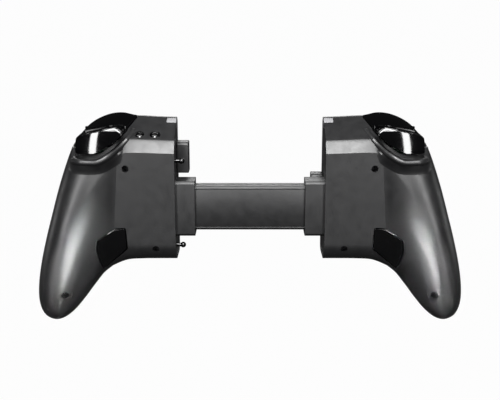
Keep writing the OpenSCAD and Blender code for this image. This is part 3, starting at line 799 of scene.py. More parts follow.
@dataclass
class Maker:
    """Sets finished forms down as pieces of the model.

    Attributes:
        inner_wall: Half the distance between the two grips' inner walls.
        count: Number of pieces made so far.
    """

    inner_wall: float = 38.5
    count: int = 0

    def piece(self, form: Form, name: str, body: str, finish: Surface, slot: str, nodes: Sequence[str],
              side: Side | None = None, smooth: float = SMOOTH) -> bpy.types.Object:
        """Makes a piece of a form.

        Args:
            form: Its shape, which is used up.
            name: Name of the piece.
            body: Body that it rides on.
            finish: What it is made of.
            slot: Material slot of the record; not used.
            nodes: Nodes of the frame that it stands for.
            side: The grip in whose frame it is drawn, or None for the bridge's.
            smooth: Angle in degrees under which an edge is shaded round.

        Returns:
            The piece.
        """
        bm = form.bm
        if side is not None:
            bmesh.ops.translate(bm, vec=(self.inner_wall, 0, 0), verts=bm.verts)
            if side is Side.RIGHT:
                bmesh.ops.scale(bm, vec=(-1, 1, 1), verts=bm.verts)
                bmesh.ops.recalc_face_normals(bm, faces=bm.faces)
        bmesh.ops.scale(bm, vec=(MM, MM, MM), verts=bm.verts)
        for face in bm.faces:
            face.smooth = True
        for edge in bm.edges:
            edge.smooth = len(edge.link_faces) == 2 and edge.calc_face_angle(0.0) < math.radians(smooth)
        mesh = bpy.data.meshes.new(name)
        bm.to_mesh(mesh)
        bm.free()
        mesh.materials.append(finish.material())
        made = linked(name, mesh)
        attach(made, body)
        if nodes:
            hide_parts(*nodes)
        self.count += 1
        LOG.info("%s: %d faces on %s", name, len(mesh.polygons), body)
        return made

    def own(self, form: Form, side: Side, name: str, body: str, node: str, finish: Surface,
            slot: str = "shell", smooth: float = SMOOTH) -> None:
        """Makes a piece whose name, body and node belong to one side.

        Args:
            form: Its shape, which is used up.
            side: The side.
            name: Name of the piece without the side's.
            body: Body that it rides on.
            node: Node that it stands for, or nothing.
            finish: What it is made of.
            slot: Material slot of the record.
            smooth: Angle in degrees under which an edge is shaded round.
        """
        nodes = [side.node(node)] if node else []
        self.piece(form, side.node(name), side.node(body), finish, slot, nodes, side, smooth)


# The grips

# Steps at which the stretches of the rear and of the front profile end
SLOPE_END, BEND_END, PLATE_END, FOOT_END = 3, 7, 11, 14
SILL_END, LOW_RIM_END, FACE_END, HIGH_RIM_END = 1, 4, 8, 11
# Degrees of a step where a profile is round
STEP_TURN = 30.0
# Fineness of the skins along the grip and round it
ROWS_PER_SECTION, COLUMNS_PER_STEP = 5, 4
# Steps at which the crest of the trigger's lip, its fall to the grip and its whole section end
CREST_END, FALL_END, LIP_END = 10, 15, 18
# Times that the range is halved to find the width of the lip's fall
HALVINGS = 12


@dataclass
class ShellPlan:
    """Sections and sizes that the skins of both shells follow.

    Attributes:
        wall: Thickness of the shells.
        plate_back: Distance of the back plate behind the phone's rest.
        front_face: Distance of the front face before it.
        parting: Distance of the seam before it.
        top_z: Height of the front top edge.
        slope: Slope of the top face in degrees.
        edge_r: Radius of the bend between back plate and slope.
        foot_r: Radius of the back plate's lower edge.
        rim_r: Radius of the front's edge.
        seam: Width of the seam.
        lower_edge: Lower outline of the grip at each section.
        upper_edge: Upper outline, its heights counted from the top edge.
        grip_tip: Point at the end of the grip.
        tip_back: Depth of that point.
        crease: Section up to which the body is plain.
        bulge: How far the back stands out of the plate at each section.
        roundness: Share of the round grip in the rear section.
        front_fall: How far the front falls back.
        front_roundness: Share of the round grip in the front section.
        seam_drop: How far the seam moves to the back.
        band_knee: Control point of the bend under the slope, its height counted from the bend's foot.
        grip_power: Power of the rear section's curve.
        front_power: Power of the front section's curve.
        sections: Number of the last section.
        back_steps: Steps round the rear profile.
        front_steps: Steps round the front profile.
    """

    wall: float = 2.2
    plate_back: float = 15.0
    front_face: float = 12.0
    parting: float = 6.0
    top_z: float = 45.0
    slope: float = 28.0
    edge_r: float = 7.0
    foot_r: float = 10.0
    rim_r: float = 4.0
    seam: float = 0.15
    lower_edge: tuple[Pair, ...] = (
        (0, -28.3), (9, -28.3), (18, -28.4), (26, -29), (33.1, -31.8), (35.4, -33.7), (37.4, -35.7),
        (39.2, -37.6), (40.9, -39.6), (42.6, -41.7), (44.4, -43.9), (46.4, -46.2), (48.3, -48.6),
        (50.4, -51), (52.4, -53.3), (54.8, -55.6), (57.4, -57.5), (60, -58.7), (62.2, -59.2))
    upper_edge: tuple[Pair, ...] = (
        (0, 0), (8, 0.3), (15.5, 0.7), (22, 0.95), (27.6, 1), (33.5, 0.7), (39.5, -0.8), (45, -3.4),
        (50, -8), (54, -14), (57.6, -23.5), (61, -34.5), (64.2, -46.5), (67.5, -59), (70.5, -72),
        (72.2, -83), (72.4, -92), (70.6, -99.2), (67.6, -102.4))
    grip_tip: Pair = (64.6, -59.4)
    tip_back: float = -7.4
    crease: int = 4
    bulge: tuple[float, ...] = (
        -8, -6, -4, -2.2, 0, 2.6, 4.8, 6.7, 8.2, 9.4, 10.7, 12.1, 13.3, 14.3, 14.75, 14.1, 11.4, 5.6, -4.2)
    roundness: tuple[float, ...] = (
        -1, -0.8, -0.5, -0.25, 0, 0.3, 0.55, 0.76, 0.9, 1, 1, 1, 1, 1, 1, 1, 1, 1, 1)
    front_fall: tuple[float, ...] = (
        0, 0, 0, 0, 0, 0, 0, 0.3, 0.8, 1.5, 2.2, 2.8, 3.4, 4, 4.8, 6.2, 8.6, 12, 15)
    front_roundness: tuple[float, ...] = (
        0, 0, 0, 0, 0, 0, 0, 0, 0.12, 0.35, 0.65, 0.88, 1, 1, 1, 1, 1, 1, 1)
    seam_drop: tuple[float, ...] = (
        0, 0, 0, 0, 0, 0, 0, 0, 0, 0.6, 2.4, 5.2, 8, 10.2, 11.6, 12.4, 12.8, 13, 13)
    band_knee: Pair = (-11.885, 5.86)
    grip_power: float = 2.3
    front_power: float = 2.8
    sections: int = 18
    back_steps: int = 15
    front_steps: int = 12

    @property
    def foot_z(self) -> float:
        """Height of the lower edge at the inner wall."""
        return self.lower_edge[0][1]

    def back_profile(self, k: float) -> Pair:
        """Depth and height of the body's rear profile, from the top seam round to the foot's seam.

        Args:
            k: Place round the profile, in steps.

        Returns:
            Depth and height.
        """
        bend_z = (self.top_z - (self.parting + self.plate_back) * math.tan(math.radians(self.slope))
                  - self.edge_r * math.tan(math.radians((90 - self.slope) / 2)))
        foot = (self.foot_r - self.plate_back, self.foot_z + self.foot_r)
        brow = on_circle((self.edge_r - self.plate_back, bend_z), self.edge_r, 90 + self.slope)
        if k <= SLOPE_END:
            f = k / SLOPE_END
            return self.parting + (brow[0] - self.parting) * f, self.top_z + (brow[1] - self.top_z) * f
        if k <= BEND_END:
            f = (k - SLOPE_END) / (BEND_END - SLOPE_END)
            start, end = Vector(brow), Vector((-self.plate_back, bend_z))
            knee = Vector(self.band_knee) + Vector((0, bend_z))
            return tuple(start * (1 - f) ** 2 + knee * 2 * f * (1 - f) + end * f * f)
        if k <= PLATE_END:
            rise = (foot[1] - bend_z) * (k - BEND_END) / (PLATE_END - BEND_END)
            return -self.plate_back, bend_z + rise
        if k <= FOOT_END:
            return on_circle(foot, self.foot_r, 180 + STEP_TURN * (k - PLATE_END))
        return foot[0] + (self.parting - foot[0]) * (k - FOOT_END), self.foot_z

    def front_profile(self, k: float) -> Pair:
        """Depth and height of the body's front profile, from the foot's seam round to the top seam.

        Args:
            k: Place round the profile, in steps.

        Returns:
            Depth and height.
        """
        depth = self.front_face - self.rim_r
        low, high = (depth, self.foot_z + self.rim_r), (depth, self.top_z - self.rim_r)
        if k <= SILL_END:
            return self.parting + (depth - self.parting) * k, self.foot_z
        if k <= LOW_RIM_END:
            return on_circle(low, self.rim_r, 270 + STEP_TURN * (k - SILL_END))
        if k <= FACE_END:
            rise = (high[1] - low[1]) * (k - LOW_RIM_END) / (FACE_END - LOW_RIM_END)
            return self.front_face, low[1] + rise
        if k <= HIGH_RIM_END:
            return on_circle(high, self.rim_r, STEP_TURN * (k - FACE_END))
        return depth + (self.parting - depth) * (k - HIGH_RIM_END), self.top_z

    def point(self, u: float, k: float, rear: bool, inset: float = 0.0) -> Vector:
        """Point of a skin.

        Args:
            u: Place along the grip, in sections.
            k: Place round the section, in steps.
            rear: True for the rear shell, False for the front.
            inset: Depth under the outer skin.

        Returns:
            The point in the grip's frame.
        """
        low, rise = spline_pair(self.lower_edge, u), spline_pair(self.upper_edge, u)
        high = (rise[0], rise[1] + self.top_z)
        drop = spline(self.seam_drop, u)
        swollen = u > self.crease
        if rear:
            steps, power, way, share = self.back_steps, self.grip_power, -1, spline(self.roundness, u)
            body, reach = self.back_profile(k), self.plate_back + self.parting
            depth = self.plate_back + (spline(self.bulge, u) if swollen else 0.0) + self.parting - drop
        else:
            steps, power, way, share = self.front_steps, self.front_power, 1, spline(self.front_roundness, u)
            body, reach = self.front_profile(k), self.front_face - self.parting
            depth = self.front_face - spline(self.front_fall, u) - self.parting + drop
        weight = min(share, 1.0) if swollen else 0.0
        angle = math.pi * k / steps
        body_t = (body[1] - self.foot_z) / (self.top_z - self.foot_z)
        body_y = (body[0] - self.parting) / reach
        turn = math.cos(angle)
        grip_t = 0.5 - 0.5 * way * math.copysign(abs(turn) ** (2 / power), turn)
        grip_y = way * max(math.sin(angle), 0.0) ** (2 / power)
        t, y = body_t + (grip_t - body_t) * weight, body_y + (grip_y - body_y) * weight
        across = math.dist(low, high)
        margin = inset / across
        t_in = margin + t * (1 - 2 * margin)
        return Vector((low[0] + (high[0] - low[0]) * t_in,
                       self.parting - drop + y * (depth - inset) + (0.0 if rear else self.seam),
                       low[1] + (high[1] - low[1]) * t_in))

    def skin(self, rear: bool, inset: float = 0.0) -> Form:
        """Open skin from the inner wall to the point at the end of the grip.

        Args:
            rear: True for the rear shell, False for the front.
            inset: Depth under the outer skin.

        Returns:
            The open form.
        """
        steps = self.back_steps if rear else self.front_steps
        rows = self.sections * ROWS_PER_SECTION
        tip_y = self.tip_back + (0.0 if rear else self.seam)
        tip = Vector((self.grip_tip[0], tip_y, self.grip_tip[1] + inset))

        def place(a: float, b: float) -> Vector:
            """Point of the grid."""
            row = round(b * (rows + 1))
            return tip if row > rows else self.point(row / ROWS_PER_SECTION, a * steps, rear, inset)

        form = Form.sheet(place, steps * COLUMNS_PER_STEP, rows + 1)
        bmesh.ops.recalc_face_normals(form.bm, faces=form.bm.faces)
        form.bm.faces.ensure_lookup_table()
        middle = form.bm.faces[len(form.bm.faces) // 3]
        if (middle.normal.y > 0) == rear:
            bmesh.ops.reverse_faces(form.bm, faces=form.bm.faces)
        return form

    def rear_tree(self) -> BVHTree:
        """Rear skin, ready to be met by rays.

        Returns:
            The tree of its faces.
        """
        skin = self.skin(True)
        tree = BVHTree.FromBMesh(skin.bm)
        skin.bm.free()
        return tree

    def thick(self, rear: bool) -> Form:
        """Closed skin with the thickness of the wall.

        Args:
            rear: True for the rear shell, False for the front.

        Returns:
            The closed form.
        """
        form, inside = self.skin(rear), self.skin(rear, self.wall)
        bmesh.ops.reverse_faces(inside.bm, faces=inside.bm.faces)
        form.with_form(inside)
        rim = [e for e in form.bm.edges if len(e.link_faces) == 1]
        bmesh.ops.bridge_loops(form.bm, edges=rim)
        bmesh.ops.recalc_face_normals(form.bm, faces=form.bm.faces)
        return form


@dataclass
class Places:
    """Places on a grip that more than one piece shares, as x from the inner wall and z.

    Attributes:
        plan: Sections of the shell.
        trigger_bay: Outline of the opening round the trigger.
        bumper_hole: Outline, seen from above, of the opening for the bumper.
        paddle_face: Outline of the rear paddle.
        paddle_middle: Its middle.
        screws: Places of the shell screws.
        screw_backs: Depth of the skin at each of them.
        motor: Place of the rumble motor.
        upper_group: Middle of the upper group of controls on the front.
        lower_group: Middle of the lower group.
        menu: Place of the menu button.
        side_button: Place of the small button beside it.
        top_buttons: Distances of the small buttons on the top slope from the inner wall.
        top_along: Their distance along the slope.
        top_r: Their radius.
        face_pitch: Distance of a face button from their middle.
    """

    plan: ShellPlan
    trigger_bay: tuple[Pair, ...] = (
        (24.1, 60), (23.9, 40.2), (30.6, 34), (36.6, 30), (39.5, 29.4), (48.9, 29.4), (49.1, 33),
        (48.4, 39.8), (48.4, 60))
    bumper_hole: tuple[Pair, ...] = (
        (19.7, 7), (19.9, 5.7), (24.8, -4.8), (36, -4.4), (46, -2.8), (70, -2.8), (70, 7))
    paddle_face: tuple[Pair, ...] = (
        (39.8, -15.0), (31.7, -10.2), (26, -9.7), (25.5, -20.6), (38.4, -32.2), (40.4, -21))
    paddle_middle: Pair = (33, -19)
    screws: tuple[Pair, ...] = ((24.9, 21.8), (10.4, -20.8), (55.8, -41.3))
    screw_backs: tuple[float, ...] = (-15.0, -15.0, -27.6)
    motor: Pair = (57, -31)
    upper_group: Pair = (39.0, 21.0)
    lower_group: Pair = (19.5, -6.0)
    menu: Pair = (8.5, 33)
    side_button: Pair = (16, 26)
    top_buttons: tuple[float, ...] = (10.4, 18.1)
    top_along: float = 11.3
    top_r: float = 2.2
    face_pitch: float = 7.4

    def stick(self, side: Side) -> Pair:
        """Place of a grip's stick."""
        return self.upper_group if side is Side.LEFT else self.lower_group

    def face_buttons(self) -> list[tuple[str, Pair]]:
        """Names and places of the four face buttons.

        Returns:
            Name and place of each.
        """
        x, z = self.upper_group
        pitch = self.face_pitch
        return [("up", (x, z + pitch)), ("down", (x, z - pitch)), ("inner", (x - pitch, z)),
                ("outer", (x + pitch, z))]

    @property
    def top_height(self) -> float:
        """Height of the top face in the frame turned by its slope."""
        turn = math.radians(self.plan.slope)
        return self.plan.top_z * math.cos(turn) - self.plan.parting * math.sin(turn)

    def sloped(self, form: Form) -> Form:
        """Turns a shape drawn level into the frame of the top slope."""
        return form.turned(self.plan.slope, "X")

    def on_top(self, form: Form, x: float) -> Form:
        """Sets a turned shape on the top slope, where a small button stands."""
        return self.sloped(form.moved((x, self.top_along, 0)))


@dataclass
class Part:
    """A part of the controller.

    Attributes:
        plan: Sections of the shell.
        places: Places that more than one piece shares.
        maker: Sets its pieces down.
    """

    plan: ShellPlan
    places: Places
    maker: Maker


@dataclass
class RearShell(Part):
    """Rear shell: plate, swelling grip, trigger bay with its lip, paddle window and recessed screws.

    Attributes:
        seat_depth: Depth of a screw recess.
        recess_r: Radius of a screw recess.
        boss_r: Radius of a screw boss.
        lip_r: Radius of the lip round the trigger bay.
        lip_out: How far the lip stands out of the skin beside the bumper.
        lip_most: How far it may stand out under the trigger.
        lip_crest: Depth that its crest reaches there.
        lip_set: Distance of the lip outside the trigger bay.
        lip_fairing: Width over which it falls away into the grip.
        lip_end: Depth of the skin at which it ends.
        lip_top: Height at which it ends.
        lip_corner: Rounding of its corners.
        lip_step: Length of a step along it.
        lip_middle: Point that it runs round.
        bay_middle: Point from which the bay's outline is grown.
        bay_corner: Rounding of the bay's corners.
        bay_floor: Depth to which the bay is cut.
        fade_z: Height at which the high crest begins to fall.
        fade_length: Height over which it does.
        fall_least: Least width of the fall to the grip.
        fall_share: Growth of that width with the crest's height.
        fall_sink: How deep the fall ends in the skin.
        roots: How deep the steps of the lip's underside lie in the skin.
        paddle_gap: Gap round the paddle.
        paddle_corner: Rounding of its window's corners.
        paddle_floor: Depth to which the window is cut.
        tab_notch: Corners of the notch for the insert's tab, before it is turned to the slope.
        socket: Corners of the opening for the charging socket.
        bumper_z: Heights between which the bumper's opening is cut.
        button_z: Heights between which the small buttons' holes are cut.
        button_gap: Gap round a small button.
        bezel_r: Radius of the rounding of its ring.
        bezel_foot: Depth of the ring's foot.
        boss_ends: Depth of the front end of each screw boss.
        bore_r: Radius of the hole in a boss.
        cup: Inner and outer radius and length of the motor's socket.
        cup_back: Depth of its back.
        root: How far bosses reach into the wall.
    """

    seat_depth: float = 6.0
    recess_r: float = 1.8
    boss_r: float = 3.2
    lip_r: float = 1.6
    lip_out: float = 0.9
    lip_most: float = 5.8
    lip_crest: float = -23.2
    lip_set: float = 3.15
    lip_fairing: float = 6.5
    lip_end: float = -3.5
    lip_top: float = 44.0
    lip_corner: float = 3.6
    lip_step: float = 0.6
    lip_middle: Pair = (37, 40)
    bay_middle: Pair = (37, 46)
    bay_corner: float = 1.4
    bay_floor: float = -4.0
    fade_z: float = 28.0
    fade_length: float = 7.5
    fall_least: float = 0.4
    fall_share: float = 1.6
    fall_sink: float = 0.25
    roots: Point = (1.4, 1.8, 2.2)
    paddle_gap: float = 0.75
    paddle_corner: float = 1.3
    paddle_floor: float = -7.0
    tab_notch: Corners = ((-1, 21.9, 33), (5.15, 30, 40))
    socket: Corners = ((15.2, 0, -40), (24.8, 3.6, -20))
    bumper_z: Pair = (32.6, 70)
    button_z: Pair = (30, 44)
    button_gap: float = 0.3
    bezel_r: float = 0.35
    bezel_foot: float = 0.5
    boss_ends: Point = (-1.5, -1.5, -8.8)
    bore_r: float = 1.1
    cup: Point = (5.3, 6.5, 16)
    cup_back: float = -24.3
    root: float = 0.1

    def build(self, side: Side) -> None:
        """Makes the rear shell of one side.

        Args:
            side: The side.
        """
        form = self.plan.thick(True)
        form.take(self._windows(side), Cut.AWAY)
        form.take(Form.prism(self.places.bumper_hole, Axis.Z, *self.bumper_z), Cut.AWAY)
        recesses = [Form.rod(place, back - self.seat_depth, back + self.seat_depth, self.recess_r)
                    for place, back in zip(self.places.screws, self.places.screw_backs)]
        form.take(Form.together(recesses), Cut.AWAY)
        form.with_form(self._lip())
        form.with_form(self._bosses())
        if side is Side.RIGHT:
            self.maker.piece(self._bezels(), "top_button_bezels", "right_grip", GLOSS, "gloss", [], side)
        self.maker.own(form, side, "grip_rear", "grip", "rear_shell", SHELL, smooth=REAR_SMOOTH)

    def _windows(self, side: Side) -> Form:
        """Trigger bay, paddle window, notch of the insert and the holes of the buttons or the socket.

        Args:
            side: The side.

        Returns:
            All cuts as one form.
        """
        places = self.places
        bay = rounded(places.trigger_bay, self.bay_corner)
        paddle = rounded(grown(places.paddle_face, places.paddle_middle, self.paddle_gap), self.paddle_corner)
        cuts = [Form.prism(bay, Axis.Y, FAR_BACK, self.bay_floor),
                Form.prism(paddle, Axis.Y, FAR_BACK, self.paddle_floor),
                places.sloped(Form.block(*self.tab_notch))]
        if side is Side.RIGHT:
            cuts += [places.on_top(Form.bar(places.top_r + self.button_gap, *self.button_z, 40), x)
                     for x in places.top_buttons]
        else:
            cuts.append(Form.block(*self.socket))
        return Form.together(cuts)

    def _bezels(self) -> Form:
        """Fine raised rings round the two small buttons.

        Returns:
            Both rings.
        """
        r, h, bend = self.places.top_r + self.button_gap, self.places.top_height, self.bezel_r
        foot = h - self.bezel_foot
        ring = [(r, foot), *arc((r + bend, h), bend, 180, 0, 8), (r + 2 * bend, foot), (r, foot)]
        return Form.together([self.places.on_top(Form.lathe(ring, 40), x) for x in self.places.top_buttons])

    def _fairing(self, tree: BVHTree, at: Vector, out: Vector) -> float:
        """Widest fall of the lip at a point that still ends on skin behind lip_end, found by halving.

        Args:
            tree: Rear skin.
            at: Point of the lip as x and z.
            out: Its way outwards.

        Returns:
            The width.
        """
        near, far = 0.0, self.lip_fairing
        for _ in range(HALVINGS):
            middle = (near + far) / 2
            if skin_depth(tree, *(at + out * (self.lip_r + middle))) < self.lip_end:
                near = middle
            else:
                far = middle
        return near

    def _lip_path(self, tree: BVHTree) -> list[tuple[Vector, Vector, float]]:
        """Points along the lip, each with its way outwards and the width of its fall.

        Args:
            tree: Rear skin.

        Returns:
            The points with their ways and widths.
        """
        bay = grown(self.places.trigger_bay, self.bay_middle, self.lip_set)
        outline = rounded(bay, self.lip_corner, 8)
        path: list[tuple[Vector, Vector, float]] = []
        for start, end in zip(outline, outline[1:]):
            steps = max(int(math.dist(start, end) / self.lip_step), 1)
            way = (Vector(end) - Vector(start)).normalized()
            out = Vector((way.y, -way.x))
            for k in range(steps):
                at = Vector(start).lerp(Vector(end), k / steps)
                out = out if out.dot(at - Vector(self.lip_middle)) > 0 else -out
                if skin_depth(tree, *(at + out * self.lip_r)) < self.lip_end and at.y < self.lip_top:
                    path.append((at, out, self._fairing(tree, at, out)))
        return path

    def _lip(self) -> Form:
        """Rounded lip that carries the skin up to the trigger's lower edge and falls away to the grip.

        Returns:
            The lip.
        """
        tree = self.plan.rear_tree()
        path = self._lip_path(tree)
        r = self.lip_r

        def place(a: float, b: float) -> Vector:
            """Point of the lip, round its section and along its path.

            Args:
                a: Share round the section.
                b: Share along the path.

            Returns:
                The point.
            """
            at, out, wide = path[round(b * (len(path) - 1))]
            k = round(a * LIP_END) % LIP_END
            fade = min(max((at.y - self.fade_z) / self.fade_length, 0.0), 1.0)
            level = skin_depth(tree, *at)
            height = min(max(level - self.lip_crest, self.lip_out), self.lip_most, self.lip_out + wide)
            height += (self.lip_out - height) * fade * fade * (3 - 2 * fade)
            wide = min(wide, self.fall_least + self.fall_share * (height - self.lip_out))
            if k <= CREST_END:
                turn = math.pi * (1 - k / CREST_END)
                spot = at + out * r * math.cos(turn)
                return Vector((spot.x, level - height + r - r * math.sin(turn), spot.y))
            if k <= FALL_END:
                share = (k - CREST_END) / (FALL_END - CREST_END)
                spot = at + out * (r + wide * share)
                fall = max(height - r, 0.0) * (1 - share) ** 2
                return Vector((spot.x, skin_depth(tree, *spot) - fall + self.fall_sink * share, spot.y))
            step = k - FALL_END - 1
            spot = at + out * (r + wide, r * 0.5, -r)[step]
            return Vector((spot.x, max(skin_depth(tree, *spot), level) + self.roots[step], spot.y))

        return Form.sheet(place, LIP_END, len(path) - 1).closed()

    def _bosses(self) -> Form:
        """Screw bosses and the socket of the rumble motor inside the shell.

        Returns:
            All of them as one form.
        """
        inner = self.plan.wall - self.root
        seat = self.seat_depth - inner
        forms = []
        for place, back, end in zip(self.places.screws, self.places.screw_backs, self.boss_ends):
            top = end - back - inner
            profile = [(self.recess_r, 0), (self.boss_r, 0), (self.boss_r, top), (self.bore_r, top),
                       (self.bore_r, seat), (self.recess_r, seat), (self.recess_r, 0)]
            forms.append(Form.lathe(profile).fronted(place, back + inner))
        hollow, outer, length = self.cup
        forms.append(Form.ring(hollow, outer, 0, length, 64).fronted(self.places.motor, self.cup_back))
        return Form.together(forms)


@dataclass
class FrontShell(Part):
    """Front shell with the openings for stick, pad and buttons.

    Attributes:
        hole_r: Radius of the stick's opening.
        ring: Profile of the raised ring round it, as radius and height over the face.
        button_r: Radius of a small button's hole.
        face_r: Radius of a face button's hole.
        pad_hole: Width, arm width and corner radius of the pad's opening.
        cut_y: Depths between which the openings are cut.
        thin_y: Depth from which the openings beside inner parts are cut.
        ears: Where the trigger's two ears begin and end.
        ear_side: Corners of an ear as y and z.
        ear_edge: Rounding of the ears.
        webs: Foot of each ear as its back, lower and upper height.
        post: Place of the bumper's post.
        post_back: Depth of its back.
        post_r: Radius of that post.
        screw_post_r: Radius of a screw post.
        screw_posts: Where each screw post begins.
        low_post_end: Where the lowest one ends.
        overlap: How far posts reach into the wall.
    """

    hole_r: float = 7.8
    ring: tuple[Pair, ...] = ((7.8, -2.2), (7.8, 0.4), (8.1, 0.7), (10.4, 0.7), (11.05, 0.35), (11.2, -0.4))
    button_r: float = 2.6
    face_r: float = 4.2
    pad_hole: Point = (22.2, 8.4, 1.2)
    cut_y: Pair = (0.0, 20.0)
    thin_y: float = 5.0
    ears: tuple[Pair, Pair] = ((31.4, 33.0), (45.2, 47.0))
    ear_side: tuple[Pair, Pair] = ((-9.9, 32.5), (-5.6, 37.2))
    ear_edge: Bevel = (0.3, 2, 30)
    webs: tuple[Point, Point] = ((-5.7, 33.6, 37.2), (-9.8, 30, 32.6))
    post: Pair = (27.5, 38.6)
    post_back: float = 6.4
    post_r: float = 2.0
    screw_post_r: float = 1.9
    screw_posts: Point = (0.3, 0.3, -8.7)
    low_post_end: float = 5.3
    overlap: float = 0.4

    def build(self, side: Side) -> None:
        """Makes the front shell of one side.

        Args:
            side: The side.
        """
        form, places, end = self.plan.thick(False), self.places, self.cut_y[1]
        cuts = [Form.rod(places.stick(side), *self.cut_y, self.hole_r, 64),
                *(Form.rod(place, *self.cut_y, self.button_r) for place in (places.menu, places.side_button))]
        if side is Side.RIGHT:
            cuts += [Form.rod(place, self.thin_y, end, self.face_r) for _, place in places.face_buttons()]
        else:
            cross = Pad.cross(*self.pad_hole, places.lower_group)
            cuts.append(Form.prism(cross, Axis.Y, self.thin_y, end))
        form.take(Form.together(cuts), Cut.AWAY)
        ring = [(radius, self.plan.front_face + rise) for radius, rise in (*self.ring, self.ring[0])]
        form.with_form(Form.lathe(ring, 96).fronted(places.stick(side)))
        form.with_form(self._inside())
        self.maker.own(form, side, "grip_front", "grip", "front_shell", SHELL)

    def _inside(self) -> Form:
        """Ears of the trigger, post of the bumper and screw posts.

        Returns:
            All of them as one form.
        """
        depth = self.plan.front_face - self.plan.wall + self.overlap
        (y0, z0), (y1, z1) = self.ear_side
        forms = [Form.block((low, y0, z0), (high, y1, z1)).bevelled(*self.ear_edge)
                 for low, high in self.ears]
        forms += [Form.block((ear[0], back, low), (ear[1], depth, high))
                  for ear, (back, low, high) in zip(self.ears, self.webs)]
        forms.append(Form.rod(self.post, self.post_back, depth, self.post_r))
        ends = (depth, depth, self.low_post_end)
        forms += [Form.rod(place, start, end, self.screw_post_r)
                  for place, start, end in zip(self.places.screws, self.screw_posts, ends)]
        return Form.together(forms)


@dataclass
class Trigger(Part):
    """Glossy trigger: curved blade with rounded edges, on a hub between two ears.

    Attributes:
        outline: Outline of the blade seen from behind.
        back: Curve of the blade's outer face as y and z.
        under: Its underside and top.
        hub_profile: Profile of the hub.
        centre: Point about which the blade is rounded in plan.
        hub: Where the hub begins and ends.
        pin: Place of its pin as y and z.
        corner: Rounding of the blade's corners.
        edge: Rounding of its edges.
        depth: Depths between which the blade lies.
        curve_steps: Steps between two points of its outer face.
        turn_steps: Steps of a whole turn about its centre.
        bore: Radius of the pin's hole and where it begins and ends.
    """

    outline: tuple[Pair, ...] = (
        (47.8, 39.5), (41.1, 41.1), (34.6, 42.4), (28.8, 43.2), (24.6, 40.6), (31.4, 35.3), (37.2, 31.9),
        (39.8, 31.2), (48.3, 31.2))
    back: tuple[Pair, ...] = ((-21.9, 42.4), (-22.7, 40.1), (-23.5, 37.2), (-24.1, 34.2), (-24.4, 31.2))
    under: tuple[Pair, ...] = (
        (-22.2, 30.6), (-19.5, 32.6), (-13, 33.2), (-10.5, 33.3), (-10.5, 43), (-17, 43))
    hub_profile: tuple[Pair, ...] = ((-4.9, 33.4), (-4.9, 41.2), (-8, 42.7), (-11, 42.9), (-11, 33.3))
    centre: Pair = (34.5, 35.6)
    hub: Pair = (33.3, 44.9)
    pin: Pair = (-8, 35.4)
    corner: float = 1.6
    edge: Bevel = (0.5, 3, 38)
    depth: Pair = (-40, -10.8)
    curve_steps: int = 6
    turn_steps: int = 600
    bore: Point = (1.05, 20, 50)

    def build(self, side: Side) -> None:
        """Makes the trigger of one side.

        Args:
            side: The side.
        """
        fine = self.curve_steps
        curve = [spline_pair(self.back, k / fine) for k in range(fine * (len(self.back) - 1) + 1)]
        x, y = self.centre
        profile = [(y - back, z) for back, z in [*curve, *self.under]]
        blade = Form.lathe([*profile, profile[0]], self.turn_steps).moved((x, y, 0))
        blade.take(Form.prism(rounded(self.outline, self.corner), Axis.Y, *self.depth), Cut.COMMON)
        blade.closed().bevelled(*self.edge)
        hub = Form.prism(self.hub_profile, Axis.X, *self.hub)
        hub.take(Form.bar(*self.bore).sided(*self.pin), Cut.AWAY)
        blade.with_form(hub)
        self.maker.own(blade, side, "trigger_blade", "trigger", "trigger", GLOSS, "gloss")


@dataclass
class Bumper(Part):
    """Glossy bumper along the top edge, rising a little over it.

    Attributes:
        region: Outline of the bumper seen from above.
        rise: Height over the top edge at each section.
        thick: Thickness.
        hinge: Place of its pin.
        span: Sections at which its curve begins, and how many it passes.
        curve_steps: Steps of that curve.
        corner: Rounding of its corners seen from above.
        edge: Rounding of its edges.
        depth: Depths along the slope between which it is drawn.
        height: Heights between which it lies.
        barrel: Inner and outer radius of the barrel on the pin, and where it begins and ends.
    """

    region: tuple[Pair, ...] = (
        (20.3, 5.7), (25.2, -4.4), (36, -4), (46, -2.4), (53, 2), (54, 4), (50, 5.1), (46, 5.7))
    rise: tuple[float, ...] = (0, 0, 0, 0.7, 1.7, 1.6, 1.1, 0.5, 0.2, 0, 0)
    thick: float = 4.0
    hinge: Pair = (27.5, 38.6)
    span: Pair = (2.5, 6.6)
    curve_steps: int = 48
    corner: float = 0.9
    edge: Bevel = (0.6, 3, 40)
    depth: Pair = (8, 30)
    height: Pair = (33.8, 64)
    barrel: tuple[float, ...] = (1.05, 2.2, -3.4, 5.6)

    def _curve(self, lift: float) -> list[Pair]:
        """Upper curve in the frame of the slope, moved by a lift.

        Args:
            lift: Move across the curve.

        Returns:
            Its points from the inner end.
        """
        turn, points = math.radians(self.plan.slope), []
        for k in range(self.curve_steps + 1):
            u = self.span[0] + k * self.span[1] / self.curve_steps
            x, z = spline_pair(self.plan.upper_edge, u)
            height = (self.plan.top_z + z) * math.cos(turn) - self.plan.parting * math.sin(turn)
            points.append((x, height + spline(self.rise, u) + lift))
        return points

    def build(self, side: Side) -> None:
        """Makes the bumper of one side.

        Args:
            side: The side.
        """
        outline = [*self._curve(0.0), *reversed(self._curve(-self.thick))]
        form = self.places.sloped(Form.prism(outline, Axis.Y, *self.depth))
        form.take(Form.prism(rounded(self.region, self.corner), Axis.Z, *self.height), Cut.COMMON)
        form.closed().bevelled(*self.edge)
        form.with_form(Form.ring(*self.barrel).fronted(self.hinge))
        self.maker.own(form, side, "bumper_bar", "bumper", "bumper", GLOSS, "gloss")


